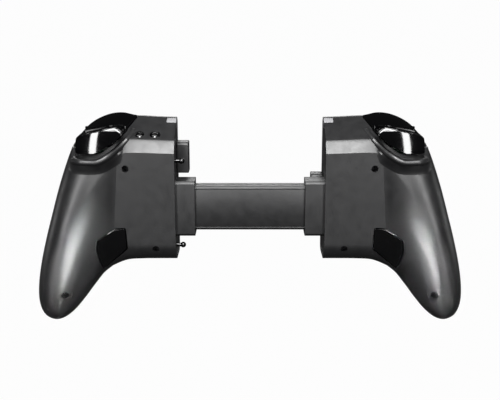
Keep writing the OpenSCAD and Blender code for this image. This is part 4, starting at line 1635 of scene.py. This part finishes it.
@dataclass
class Paddle(Part):
    """Glossy rear paddle that lies in the skin.

    Attributes:
        sink: Depth of its face under the skin.
        thick: Thickness.
        hinge: Place of its pin as x and y.
        corner: Rounding of its corners.
        edge: Rounding of its edges.
        lattice: Size of the faces that follow the skin.
        barrel: Inner and outer radius of the barrel on the pin, and where it begins and ends.
        arm: Half the width of the arm between plate and barrel, and how far it ends behind the pin.
        arm_back: Depth of the arm's back.
    """

    sink: float = 0.35
    thick: float = 2.2
    hinge: Pair = (27.3, -10.2)
    corner: float = 1.1
    edge: Bevel = (0.5, 3, 50)
    lattice: float = 1.2
    barrel: tuple[float, ...] = (0.85, 1.4, -17.3, -14.5)
    arm: Pair = (1.0, 1.1)
    arm_back: float = -13.2

    def build(self, side: Side) -> None:
        """Makes the paddle of one side.

        Args:
            side: The side.
        """
        outline = rounded(self.places.paddle_face, self.corner)
        plate = Form.prism(outline, Axis.Y, self.sink, self.sink + self.thick)
        plate.bevelled(*self.edge).latticed(self.lattice).draped(self.plan.rear_tree())
        bmesh.ops.recalc_face_normals(plate.bm, faces=plate.bm.faces)
        (x, y), (half, gap), (low, high) = self.hinge, self.arm, self.barrel[2:]
        plate.with_form(Form.ring(*self.barrel).moved((x, y, 0)))
        plate.with_form(Form.block((x - half, self.arm_back, low), (x + half, y - gap, high)))
        self.maker.own(plate, side, "paddle_plate", "paddle", "paddle", GLOSS, "gloss")


@dataclass
class Stick(Part):
    """Thumb stick: fluted rubber cap on a dome and shaft.

    Attributes:
        pivot_y: Depth of the stick's pivot.
        height: Height of the cap over the pivot.
        cap_r: Radius of the cap.
        dome_r: Radius of the dome.
        neck_r: Radius of the neck.
        rim: Profile of the cap's rim, as distances in from its radius and down from its top.
        bore_gap: Gap between cap and neck.
        skirt: Depths under the top of the cap's middle, of the top of its bore and of its lower edge.
        flutes: Number and depth of the flutes.
        fluted: How far in from the radius they begin, and how far under the top they begin and end.
        dome_wall: Wall of the dome.
        dome_arc: Angles at which its outer curve begins, at which both curves meet and at which
            the inner one ends.
        shaft_top: How far under the cap's top the shaft ends.
        neck_sink: How far the neck reaches into the dome.
        stem: Radius and lower end of the stem under the dome.
        stem_sink: How far the stem's foot starts under the dome's inner side.
    """

    pivot_y: float = 6.2
    height: float = 19.5
    cap_r: float = 9.0
    dome_r: float = 8.0
    neck_r: float = 3.2
    rim: tuple[Pair, ...] = (
        (1.8, 6.3), (0.8, 5.5), (0.4, 4.9), (0, 3.6), (0, 2.4), (0.2, 0.9), (0.4, 0.35), (0.8, 0), (1.4, 0),
        (2, 0.2), (2.8, 0.75), (4, 1.2), (6, 1.6))
    bore_gap: float = 0.05
    skirt: Point = (1.9, 4.7, 6.9)
    flutes: tuple[int, float] = (48, 0.03)
    fluted: Point = (0.5, 5.0, 0.8)
    dome_wall: float = 0.8
    dome_arc: Point = (64, 32, 78)
    shaft_top: float = 4.8
    neck_sink: float = 0.4
    stem: Pair = (1.5, -3.2)
    stem_sink: float = 0.2

    def build(self, side: Side) -> None:
        """Makes the stick of one side.

        Args:
            side: The side.
        """
        h, r, n, dome = self.height, self.cap_r, self.neck_r, self.dome_r
        bore = n + self.bore_gap
        middle, under, edge = (h - depth for depth in self.skirt)
        rim = [(r - inwards, h - down) for inwards, down in self.rim]
        cap = Form.lathe([(bore, edge), *rim, (0, middle), (0, under), (bore, under), (bore, edge)], 288)
        inwards, low, high = self.fluted
        cap.fluted(r - inwards, h - low, h - high, *self.flutes)
        inner, top, (stem_r, stem_end) = dome - self.dome_wall, h - self.shaft_top, self.stem
        begin, meet, end = self.dome_arc
        shaft = Form.lathe([(0, top), (n, top), (n, dome - self.neck_sink),
                            *arc((0, 0), dome, begin, meet, 14), *arc((0, 0), inner, meet, end, 12),
                            (stem_r, inner - self.stem_sink), (stem_r, stem_end), (0, stem_end)], 96)
        place = self.places.stick(side)
        for form, name, node, finish, slot in ((cap, "thumb_cap", "stick_cap", RUBBER, "rubber"),
                                               (shaft, "thumb_dome", "stick_shaft", GLOSS, "gloss")):
            form.fronted(place, self.pivot_y)
            self.maker.own(form, side, name, "stick", node, finish, slot)


@dataclass
class Buttons(Part):
    """Domed push buttons of both grips.

    Attributes:
        face: Depth of the front face.
        flange_back: Depth of the back of a flange.
        flange_front: Depth of its front.
        flange_out: How far a flange stands out.
        stem_share: Radius of the stem as a share of the button's.
        crown: Share of the radius at which the top is flat, how far it falls up to there, and how
            far up to its rounded edge.
        big: Radius, rise, depth of the back and rounding of a face button.
        small: The same of a menu or side button.
        cap_depths: Depths under a top button's face of its back and of its flange's front.
        cap_flange: How far that flange stands out.
        cap_foot: Height over the face at which its dome begins.
        cap_ball: Radius of its domed top and depth of that ball's middle.
        cap_arc: Angles at which the dome begins and ends.
        cap_rise: Height of its top.
    """

    face: float = 12.0
    flange_back: float = 8.3
    flange_front: float = 9.5
    flange_out: float = 0.4
    stem_share: float = 0.45
    crown: Point = (0.4, 0.02, 0.12)
    big: tuple[float, ...] = (3.9, 1.8, 1.7, 1.17)
    small: tuple[float, ...] = (2.3, 0.7, 1.0, 0.35)
    cap_depths: Pair = (3.8, 2.8)
    cap_flange: float = 0.8
    cap_foot: float = 0.05
    cap_ball: Pair = (3.3, 2.4)
    cap_arc: Pair = (42, 88)
    cap_rise: float = 0.9

    def _profile(self, r: float, rise: float, stem: float, fillet: float) -> list[Pair]:
        """Profile of a button with stem, flange and rounded top.

        Args:
            r: Radius.
            rise: Height over the face.
            stem: Depth of its back.
            fillet: Rounding of its top.

        Returns:
            Points of radius and height.
        """
        top, stem_r, flange_r = self.face + rise, r * self.stem_share, r + self.flange_out
        flat, fall, edge = self.crown
        corner = arc((r - fillet, top - fillet - edge), fillet, 0, 80, 6)
        return [(0, stem), (stem_r, stem), (stem_r, self.flange_back), (flange_r, self.flange_back),
                (flange_r, self.flange_front), (r, self.flange_front), *corner, (r * flat, top - fall),
                (0, top)]

    def push(self, name: str, side: Side, place: Pair, size: Sequence[float]) -> None:
        """Makes one button of the front face."""
        form = Form.lathe(self._profile(*size), 64).fronted(place)
        self.maker.piece(form, f"{name}_key", name, GLOSS, "gloss", [name], side)

    def build(self) -> None:
        """Makes every button."""
        for name, place in self.places.face_buttons():
            self.push(f"face_button_{name}", Side.RIGHT, place, self.big)
        for side, menu, extra in ((Side.RIGHT, "right_menu_button", "home_button"),
                                  (Side.LEFT, "left_menu_button", "capture_button")):
            self.push(menu, side, self.places.menu, self.small)
            self.push(extra, side, self.places.side_button, self.small)
        r, base, (dome_r, dome_depth) = self.places.top_r, self.places.top_height, self.cap_ball
        back, flange = (base - depth for depth in self.cap_depths)
        wide = r + self.cap_flange
        profile = [(0, back), (wide, back), (wide, flange), (r, flange), (r, base + self.cap_foot),
                   *arc((0, base - dome_depth), dome_r, *self.cap_arc, 10), (0, base + self.cap_rise)]
        for name, x in zip(("top_button_inner", "top_button_outer"), self.places.top_buttons):
            form = self.places.on_top(Form.lathe(profile, 64), x)
            self.maker.piece(form, f"{name}_key", name, GLOSS, "gloss", [name], Side.RIGHT)


@dataclass
class Pad(Part):
    """Directional pad with rounded arms and a dished middle.

    Attributes:
        width: Width across two arms.
        arm: Width of an arm.
        back: Depth of its back.
        top: Depth of its face.
        corner: Rounding of the arms.
        edge: Rounding of its edges.
        dish: Radius of the ball that hollows its face, and the height of that ball's middle over it.
        bore_end: Depth of the pivot's hole.
        bore_r: Its radius.
        skirt: How much wider the skirt and its arms are, and the rounding of its corners.
    """

    width: float = 21.0
    arm: float = 7.2
    back: float = 7.2
    top: float = 14.0
    corner: float = 1.1
    edge: Bevel = (0.6, 3, 50)
    dish: Pair = (16.0, 15.2)
    bore_end: float = 10.55
    bore_r: float = 2.25
    skirt: Point = (2.4, 0.8, 1.0)

    @staticmethod
    def cross(width: float, arm: float, corner: float, place: Pair) -> list[Pair]:
        """Outline of a cross about a place, its corners rounded.

        Args:
            width: Width across two arms.
            arm: Width of an arm.
            corner: Rounding of the corners.
            place: Middle of the cross.

        Returns:
            The outline.
        """
        w, a = width / 2, arm / 2
        points = [(a, a), (a, w), (-a, w), (-a, a), (-w, a), (-w, -a), (-a, -a), (-a, -w), (a, -w), (a, -a),
                  (w, -a), (w, a)]
        return [(x + place[0], z + place[1]) for x, z in rounded(points, corner, 4)]

    def build(self) -> None:
        """Makes the pad."""
        place, (ball_r, ball_rise), (wider, thicker, corner) = self.places.lower_group, self.dish, self.skirt
        form = Form.prism(self.cross(self.width, self.arm, self.corner, place), Axis.Y, self.back, self.top)
        form.bevelled(*self.edge)
        form.take(Form.ball((place[0], self.top + ball_rise, place[1]), ball_r), Cut.AWAY)
        outline = self.cross(self.width + wider, self.arm + thicker, corner, place)
        skirt = Form.prism(outline, Axis.Y, self.back, self.back + 1)
        for shape in (form, skirt):
            shape.take(Form.rod(place, self.back - 1, self.bore_end, self.bore_r), Cut.AWAY)
        form.with_form(skirt)
        self.maker.piece(form, "directional_cross", "directional_pad", GLOSS, "gloss", ["directional_pad"],
                         Side.LEFT)


# The bridge and what stands on the grips' inner walls


@dataclass
class Bridge(Part):
    """Telescopic bridge: two covers with panel lines, and the soft pad.

    Attributes:
        back: Depth of its back.
        front: Depth of its front.
        split: Depth of the joint between the covers.
        half_h: Half its height.
        half: Half its length.
        wall: Wall of the covers.
        chamfer: Chamfer of its rear edges.
        line_z: Height of a panel line.
        groove: Depth of a panel line.
        line_half: Half its width.
        screws: Places of the screws.
        post: Inner and outer radius of a screw post, and where it begins and ends.
        root: How far posts and stops reach into the cover.
        seam: Gap between the covers.
        sink: Radius and depth of the seat of a screw's head.
        bore_depth: Depth of a screw's hole.
        edges: Rounding of the edges of rear cover, front cover and pad.
        stop_gap: Gap between a spring stop and the front cover.
        stop: Where a spring stop begins and ends along the bridge.
        stop_z: Heights between which it stands.
        pad_half: Half the pad's length.
        pad_z: Half its height.
        ribs: Number of the grooves in the pad.
        rib: Half the width of a groove, its depth and its distance from the pad's edge.
        pitch: Distance of two grooves.
    """

    back: float = -10.4
    front: float = -2.2
    split: float = -5.81
    half_h: float = 11.7
    half: float = 88.4
    wall: float = 1.5
    chamfer: float = 1.0
    line_z: float = 10.0
    groove: float = 0.3
    line_half: float = 0.2
    screws: tuple[Pair, ...] = ((-22, 8), (22, 8), (-8, 3), (8, 3))
    post: tuple[float, ...] = (0.75, 1.8, 0, 4.7)
    root: float = 0.1
    seam: float = 0.15
    sink: Pair = (1.4, 0.9)
    bore_depth: float = 4.0
    edges: tuple[Bevel, Bevel, Bevel] = ((0.13, 2, 25), (0.2, 2, 40), (0.4, 3, 30))
    stop_gap: float = 0.3
    stop: Pair = (12, 15)
    stop_z: Pair = (2, 6)
    pad_half: float = 24.0
    pad_z: float = 9.6
    ribs: int = 8
    rib: Point = (0.5, 0.5, 2.0)
    pitch: float = 5.0

    def build(self) -> None:
        """Makes the bridge."""
        self._rear_cover()
        self._front_cover()
        self._pad()

    def _rear_cover(self) -> None:
        """Rear cover with two panel lines, screw posts and spring stops."""
        b, h, c, w = self.back, self.half_h, self.chamfer, self.wall
        above, below = self.line_z + self.line_half, self.line_z - self.line_half
        half_profile = [(self.split, h), (b + c, h), (b, h - c), (b, above), (b + self.groove, above),
                        (b + self.groove, below), (b, below)]
        outer = [*half_profile, *[(y, -z) for y, z in reversed(half_profile)]]
        inner = [(self.split, w - h), (b + w, w - h), (b + w, h - w), (self.split, h - w)]
        form = Form.prism([*outer, *inner], Axis.X, -self.half, self.half).bevelled(*self.edges[0])
        extras = [Form.ring(*self.post).fronted(place, b + w + self.root) for place in self.screws]
        for way in (-1, 1):
            low, high = sorted(way * end for end in self.stop)
            extras.append(Form.block((low, b + w - self.root, self.stop_z[0]),
                                     (high, self.front - w - self.stop_gap, self.stop_z[1])))
        form.with_form(Form.together(extras))
        self.maker.piece(form, "bridge_back_plate", "bridge", SLEEVE, "shell", ["bridge_rear_cover"])

    def _front_cover(self) -> None:
        """Front cover with its countersunk screw holes."""
        f, h, w, s = self.front, self.half_h, self.wall, self.split + self.seam
        outline = [(s, -h), (s, w - h), (f - w, w - h), (f - w, h - w), (s, h - w), (s, h), (f, h), (f, -h)]
        form = Form.prism(outline, Axis.X, -self.half, self.half).bevelled(*self.edges[1])
        for radius, depth, end in ((*self.sink, 1), (self.post[0], self.bore_depth, 0)):
            form.take(Form.together([Form.rod(p, f - depth, end, radius, 32) for p in self.screws]), Cut.AWAY)
        self.maker.piece(form, "bridge_front_plate", "bridge", SLEEVE, "shell", ["bridge_front_cover"])

    def _pad(self) -> None:
        """Soft pad with upright ribs."""
        half, z, (thin, deep, short) = self.pad_half, self.pad_z, self.rib
        form = Form.block((-half, self.front, -z), (half, 0, z)).bevelled(*self.edges[2])
        first = -self.pitch * (self.ribs - 1) / 2
        grooves = [Form.block((x - thin, -deep, short - z), (x + thin, 1, z - short))
                   for x in (first + self.pitch * k for k in range(self.ribs))]
        form.take(Form.together(grooves), Cut.AWAY)
        self.maker.piece(form, "bridge_soft_pad", "bridge", PAD, "rubber", ["bridge_pad"])


@dataclass
class InnerWall(Part):
    """Inner wall of a grip: frame, collar round the bridge, phone stop and ball studs.

    Attributes:
        collar_low: Lower corner of the collar as y and z.
        collar_high: Its upper corner.
        collar_x: Where the collar begins and ends.
        chamfer: Chamfer of the collar.
        bore: Corners of the collar's inside, through which the bridge runs.
        studs: Heights of the ball studs.
        stud_y: Depth of the studs.
        stud_hole: Radius of a stud's hole and where it begins and ends.
        ball: Radius of a stud's ball and the place of its middle.
        sheet: Where the wall begins and ends.
        slot: Depths between which the phone stop's slot lies.
        stop_low: Height of the stop's middle in its lowest place.
        stop_travel: How far it slides.
        stop_h: Height of the stop.
        stop_depth: Depth of the stop.
        stop_x: Where it begins and ends.
        neck: Half the height of the neck that runs in the slot.
        gap: Gap round that neck.
        play: Gap round the collar.
        inset: Gap between wall and shell.
        cut_x: Where both cuts begin, where the slot's ends and where the collar's ends.
        neck_x: Where the stop's neck begins and ends.
        foot_x: Where its foot behind the wall begins and ends.
        foot_y: Depths between which that foot lies.
        pin: Radius of a stud's pin and where it begins and ends.
        ball_arc: Angles at which a stud's ball begins and ends.
        tab_edge: Rounding of the tab.
        collar_edge: Rounding of the collar.
        stop_edge: Rounding of the stop.
        foot_edge: Rounding of its foot.
        tab: Corners of the tab in the top face, before it is turned to the slope.
    """

    collar_low: Pair = (-12.3, -14.6)
    collar_high: Pair = (-0.4, 14.6)
    collar_x: Pair = (-10.1, 4.0)
    chamfer: float = 1.2
    bore: Corners = ((-12, -10.7, -12.0), (6, -1.9, 12.0))
    studs: Pair = (25.0, -19.7)
    stud_y: float = -10.0
    stud_hole: Point = (1.05, -1, 4)
    ball: Pair = (1.5, -3.5)
    sheet: Pair = (0.2, 2.8)
    slot: Pair = (2.6, 5.4)
    stop_low: float = 7.65
    stop_travel: float = 17.0
    stop_h: float = 16.3
    stop_depth: float = 8.0
    stop_x: Pair = (-6.4, -0.3)
    neck: float = 4.0
    gap: float = 0.3
    play: float = 0.05
    inset: float = 0.15
    cut_x: Point = (-1.0, 4.0, 6.0)
    neck_x: Pair = (-0.31, 3.11)
    foot_x: Pair = (3.1, 4.2)
    foot_y: Pair = (1.0, 7.0)
    pin: Point = (1.0, 3.6, -2.4)
    ball_arc: Pair = (48, -90)
    tab_edge: Bevel = (0.25, 2, 40)
    collar_edge: Bevel = (0.28, 3, 30)
    stop_edge: Bevel = (0.5, 3, 30)
    foot_edge: Bevel = (0.2, 2, 30)
    tab: Corners = ((0, 22.1, 33.2), (5, 26.1, 36.85))

    def build(self, side: Side) -> None:
        """Makes the inner wall of one side.

        Args:
            side: The side.
        """
        self._tab(side)
        self._frame(side)
        self._collar(side)
        self._stop(side)
        if side is Side.RIGHT:
            self._studs()

    def _tab(self, side: Side) -> None:
        """Corner of the insert that shows in the top face, cut off in front at the seam, its light grey a
        painted highlight.

        Args:
            side: The side.
        """
        form = self.places.sloped(Form.block(*self.tab))
        form.take(Form.block((-1, self.plan.parting - 0.1, 0), (6, 60, 60)), Cut.AWAY)
        form.closed().bevelled(*self.tab_edge)
        # Its light grey is a painted highlight.
        self.maker.own(form, side, "corner_tab", "grip", "", PAINTED_HIGHLIGHT_TAB)

    def _frame(self, side: Side) -> None:
        """Flat wall with the openings for collar, slot and studs.

        Args:
            side: The side.
        """
        plan, inset = self.plan, self.plan.wall + self.inset
        points = [plan.point(0, k / 3, True, inset) for k in range(3 * plan.back_steps + 1)]
        points += [plan.point(0, k / 3, False, inset) for k in range(3, 3 * (plan.front_steps - 1) + 1)]
        form = Form.prism([(p.y, p.z) for p in points], Axis.X, *self.sheet)
        (y0, z0), (y1, z1), play = self.collar_low, self.collar_high, self.play
        reach = self.neck + self.gap
        low, high = self.stop_low - reach, self.stop_low + self.stop_travel + reach
        (near, slot_end, far), (slot_y0, slot_y1) = self.cut_x, self.slot
        cuts = [Form.block((near, y0 - play, z0 - play), (far, y1 + play, z1 + play)),
                Form.block((near, slot_y0, low), (slot_end, slot_y1, high))]
        if side is Side.RIGHT:
            cuts += [Form.bar(*self.stud_hole).sided(self.stud_y, z) for z in self.studs]
        form.take(Form.together(cuts), Cut.AWAY)
        self.maker.own(form, side, "inner_wall", "grip", "cradle_frame", INSERT)

    def _collar(self, side: Side) -> None:
        """Sleeve in which the bridge slides.

        Args:
            side: The side.
        """
        (y0, z0), (y1, z1), c = self.collar_low, self.collar_high, self.chamfer
        outline = [(y0 + c, z0), (y1, z0), (y1, z1), (y0 + c, z1), (y0, z1 - c), (y0, z0 + c)]
        form = Form.prism(outline, Axis.X, *self.collar_x).bevelled(*self.collar_edge)
        form.take(Form.block(*self.bore), Cut.AWAY)
        self.maker.own(form, side, "sleeve", "grip", "slide_collar", INSERT)

    def _stop(self, side: Side) -> None:
        """Sliding stop that holds the phone's end.

        Args:
            side: The side.
        """
        z = self.stop_low + (self.stop_travel if side is Side.RIGHT else 0.0)
        h, deep, neck, (near, far) = self.stop_h / 2, self.stop_depth, self.neck, self.slot
        outline = [(0, -h), (deep, -h), (deep, h), (1, h), (0, h - 1)]
        form = Form.prism(outline, Axis.X, *self.stop_x).bevelled(*self.stop_edge)
        (neck_x0, neck_x1), (foot_x0, foot_x1), (foot_y0, foot_y1) = self.neck_x, self.foot_x, self.foot_y
        form.with_form(Form.block((neck_x0, near + self.gap, -neck), (neck_x1, far - self.gap, neck)))
        foot = Form.block((foot_x0, foot_y0, -neck), (foot_x1, foot_y1, neck))
        form.with_form(foot.bevelled(*self.foot_edge))
        self.maker.own(form.moved((0, 0, z)), side, "stop_block", "phone_stop", "phone_stop", INSERT)

    def _studs(self) -> None:
        """Ball studs on which a cushion can be pressed."""
        (radius, middle), (pin_r, root, end) = self.ball, self.pin
        profile = [(0, root), (pin_r, root), (pin_r, end), *arc((0, middle), radius, *self.ball_arc, 20)]
        forms = [Form.lathe(profile, 40).sided(self.stud_y, z) for z in self.studs]
        self.maker.piece(Form.together(forms), "right_ball_studs", "right_grip", GLOSS, "gloss",
                         ["right_stop_studs"], Side.RIGHT)


@dataclass
class Inside:
    """Dresses the pieces of the frame that stay as they are, most of them inside the shells.

    Attributes:
        finishes: What each kind of node is made of, by a part of its name.
        edge: Width of the rounding of their edges.
        sharp: Angle in degrees over which an edge is rounded.
    """

    finishes: dict[str, Surface] = field(default_factory=lambda: {
        "shell_screws": DARK_STEEL, "stick_base": PAD, "circuit_board": BOARD, "ribbon": FILM,
        "battery": WRAP, **dict.fromkeys(("spring", "anchor", "screws", "pins", "stick_hub", "stick_yoke",
                                          "rumble", "pivot", "socket"), STEEL)})
    edge: float = 0.12
    sharp: float = 40.0

    def build(self) -> None:
        """Gives each kept node its material and a fine rounding."""
        for name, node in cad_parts.items():
            if node.hide_render:
                continue
            finish = next((f for key, f in self.finishes.items() if key in name), SHELL)
            node.data.materials.clear()
            node.data.materials.append(finish.material())
            weld = node.modifiers.new("weld", "WELD")
            weld.merge_threshold = WELD_MM * MM
            bevel = node.modifiers.new("edges", "BEVEL")
            bevel.width, bevel.segments, bevel.limit_method = self.edge * MM, 2, "ANGLE"
            bevel.angle_limit = math.radians(self.sharp)
            LOG.info("%s kept", name)


# Stage


@dataclass(frozen=True)
class Softbox:
    """A rectangular lamp that looks at a point.

    Attributes:
        name: Name of the lamp.
        place: Where it stands, in metres.
        size: Width and height in metres.
        power: Power in watts.
        target: Point that it faces.
        spread: Angle of its beam in degrees.
    """

    name: str
    place: Point
    size: Pair
    power: float
    target: Point = (0.0, 0.0, 0.0)
    spread: float = 180.0

    def build(self) -> None:
        """Makes the lamp."""
        data = bpy.data.lights.new(self.name, "AREA")
        data.shape, data.size, data.size_y, data.energy = "RECTANGLE", *self.size, self.power
        data.spread = math.radians(self.spread)
        lamp = linked(self.name, data)
        lamp.location = self.place
        lamp.rotation_euler = (Vector(self.target) - Vector(self.place)).to_track_quat("-Z", "Y").to_euler()

    def mirrored(self) -> "Softbox":
        """The same lamp on the right.

        Returns:
            The lamp.
        """
        (x, *place), (aim, *target) = self.place, self.target
        name = self.name.replace("left", "right")
        return replace(self, name=name, place=(-x, *place), target=(-aim, *target))


@dataclass
class Stage:
    """Floor, backdrop, lamps and camera.

    Attributes:
        floor_z: Height of the floor.
        distance: Distance of the camera from the point it looks at.
        elevation: Height of the camera over the horizon in degrees.
        aim: Point that the camera looks at, in metres.
        lens: Focal length in millimetres.
        sensor: Width of the camera's sensor in millimetres.
        clip: Nearest and farthest distance that the camera sees.
        floor_size: Half the floor's width.
        floor_white: Share of white in the floor that the camera sees.
        floor_shade: Grey of the floor that the light sees.
        room: Strength of the light from all round.
        lamps: The lamps in the middle and on the left, each left one being mirrored to the right.
    """

    floor_z: float = -0.061
    distance: float = 0.45
    elevation: float = 14.0
    aim: Point = (0.0, -0.0104, 0.00448)
    lens: float = 62.64
    sensor: float = 36.0
    clip: Pair = (0.01, 40.0)
    floor_size: float = 15.0
    floor_white: float = 0.98
    floor_shade: float = 0.03
    room: float = 0.03
    lamps: tuple[Softbox, ...] = (
        Softbox("left_strip", (-0.41, -0.97, 0.32), (0.13, 0.8), 9.6, (0.0, 0.0, 0.2)),
        Softbox("left_snoot", (-0.24, -0.45, -0.02), (0.02, 0.035), 0.039, (0.108, -0.025, -0.027), 7.0),
        Softbox("band_box", (0.0, -0.40, 0.43), (0.24, 0.14), 7.2),
        Softbox("top_box", (0.0, -0.2, 0.8), (1.2, 0.2), 6.5),
        Softbox("front_box", (0.0, 0.95, 0.5), (0.9, 0.25), 5.0),
        Softbox("left_rim", (-0.9, 0.36, 0.03), (0.25, 0.1), 0.4))

    def build(self) -> None:
        """Makes the stage."""
        self._camera()
        self._floor()
        self._world()
        for lamp in self.lamps:
            lamp.build()
            if lamp.place[0]:
                lamp.mirrored().build()

    def _camera(self) -> None:
        """Camera at the photograph's angle."""
        data = bpy.data.cameras.new("camera")
        data.lens, data.sensor_width = self.lens, self.sensor
        data.clip_start, data.clip_end = self.clip
        camera = linked("camera", data)
        tilt = math.radians(self.elevation)
        away = Vector((0.0, -math.cos(tilt), math.sin(tilt)))
        camera.location = Vector(self.aim) + away * self.distance
        camera.rotation_euler = (-away).to_track_quat("-Z", "Y").to_euler()
        bpy.context.scene.camera = camera

    def _floor(self) -> None:
        """Plain pale floor that shows as the white of the background and keeps the shadow."""
        bm = bmesh.new()
        bmesh.ops.create_grid(bm, x_segments=1, y_segments=1, size=self.floor_size)
        bmesh.ops.translate(bm, vec=(0, 0, self.floor_z), verts=bm.verts)
        mesh = bpy.data.meshes.new("floor")
        bm.to_mesh(mesh)
        bm.free()
        floor = linked("floor", mesh)
        material = bpy.data.materials.new("pale_floor")
        material.use_nodes = True
        graph = Graph(material.node_tree)
        seen = graph.node("ShaderNodeLightPath", output="Is Camera Ray")
        matt = graph.node("ShaderNodeBsdfDiffuse", {}, {"Color": rgba(WHITE, self.floor_shade)})
        white = graph.node("ShaderNodeEmission", {}, {"Color": rgba(WHITE), "Strength": 1.0})
        mixed = graph.node("ShaderNodeMixShader", {}, {0: seen * self.floor_white, 1: matt, 2: white})
        graph.node("ShaderNodeOutputMaterial", {}, {"Surface": mixed})
        mesh.materials.append(material)

    def _world(self) -> None:
        """Dim studio light from all round, white where the camera looks past the floor."""
        world = bpy.data.worlds.new("studio")
        world.use_nodes = True
        bpy.context.scene.world = world
        graph = Graph(world.node_tree)
        seen = graph.node("ShaderNodeLightPath", output="Is Camera Ray")
        room = graph.node("ShaderNodeBackground", {}, {"Color": rgba(WHITE), "Strength": self.room})
        white = graph.node("ShaderNodeBackground", {}, {"Color": rgba(WHITE), "Strength": 1.0})
        mixed = graph.node("ShaderNodeMixShader", {}, {0: seen, 1: room, 2: white})
        graph.node("ShaderNodeOutputWorld", {}, {"Surface": mixed})


def main() -> None:
    """Builds the stage and the controller."""
    logging.basicConfig(level=logging.INFO, format="%(message)s")
    bpy.context.scene.view_settings.view_transform = "Standard"
    Stage().build()
    plan = ShellPlan()
    shared = (plan, Places(plan), Maker())
    for side in Side:
        for kind in (RearShell, FrontShell, Trigger, Bumper, Paddle, Stick, InnerWall):
            kind(*shared).build(side)
            LOG.info("%s of the %s side built", kind.__name__, side.name.lower())
    for kind in (Buttons, Pad, Bridge):
        kind(*shared).build()
        LOG.info("%s built", kind.__name__)
    Inside().build()
    LOG.info("%d pieces made", shared[-1].count)


if __name__ == "__main__":
    main()
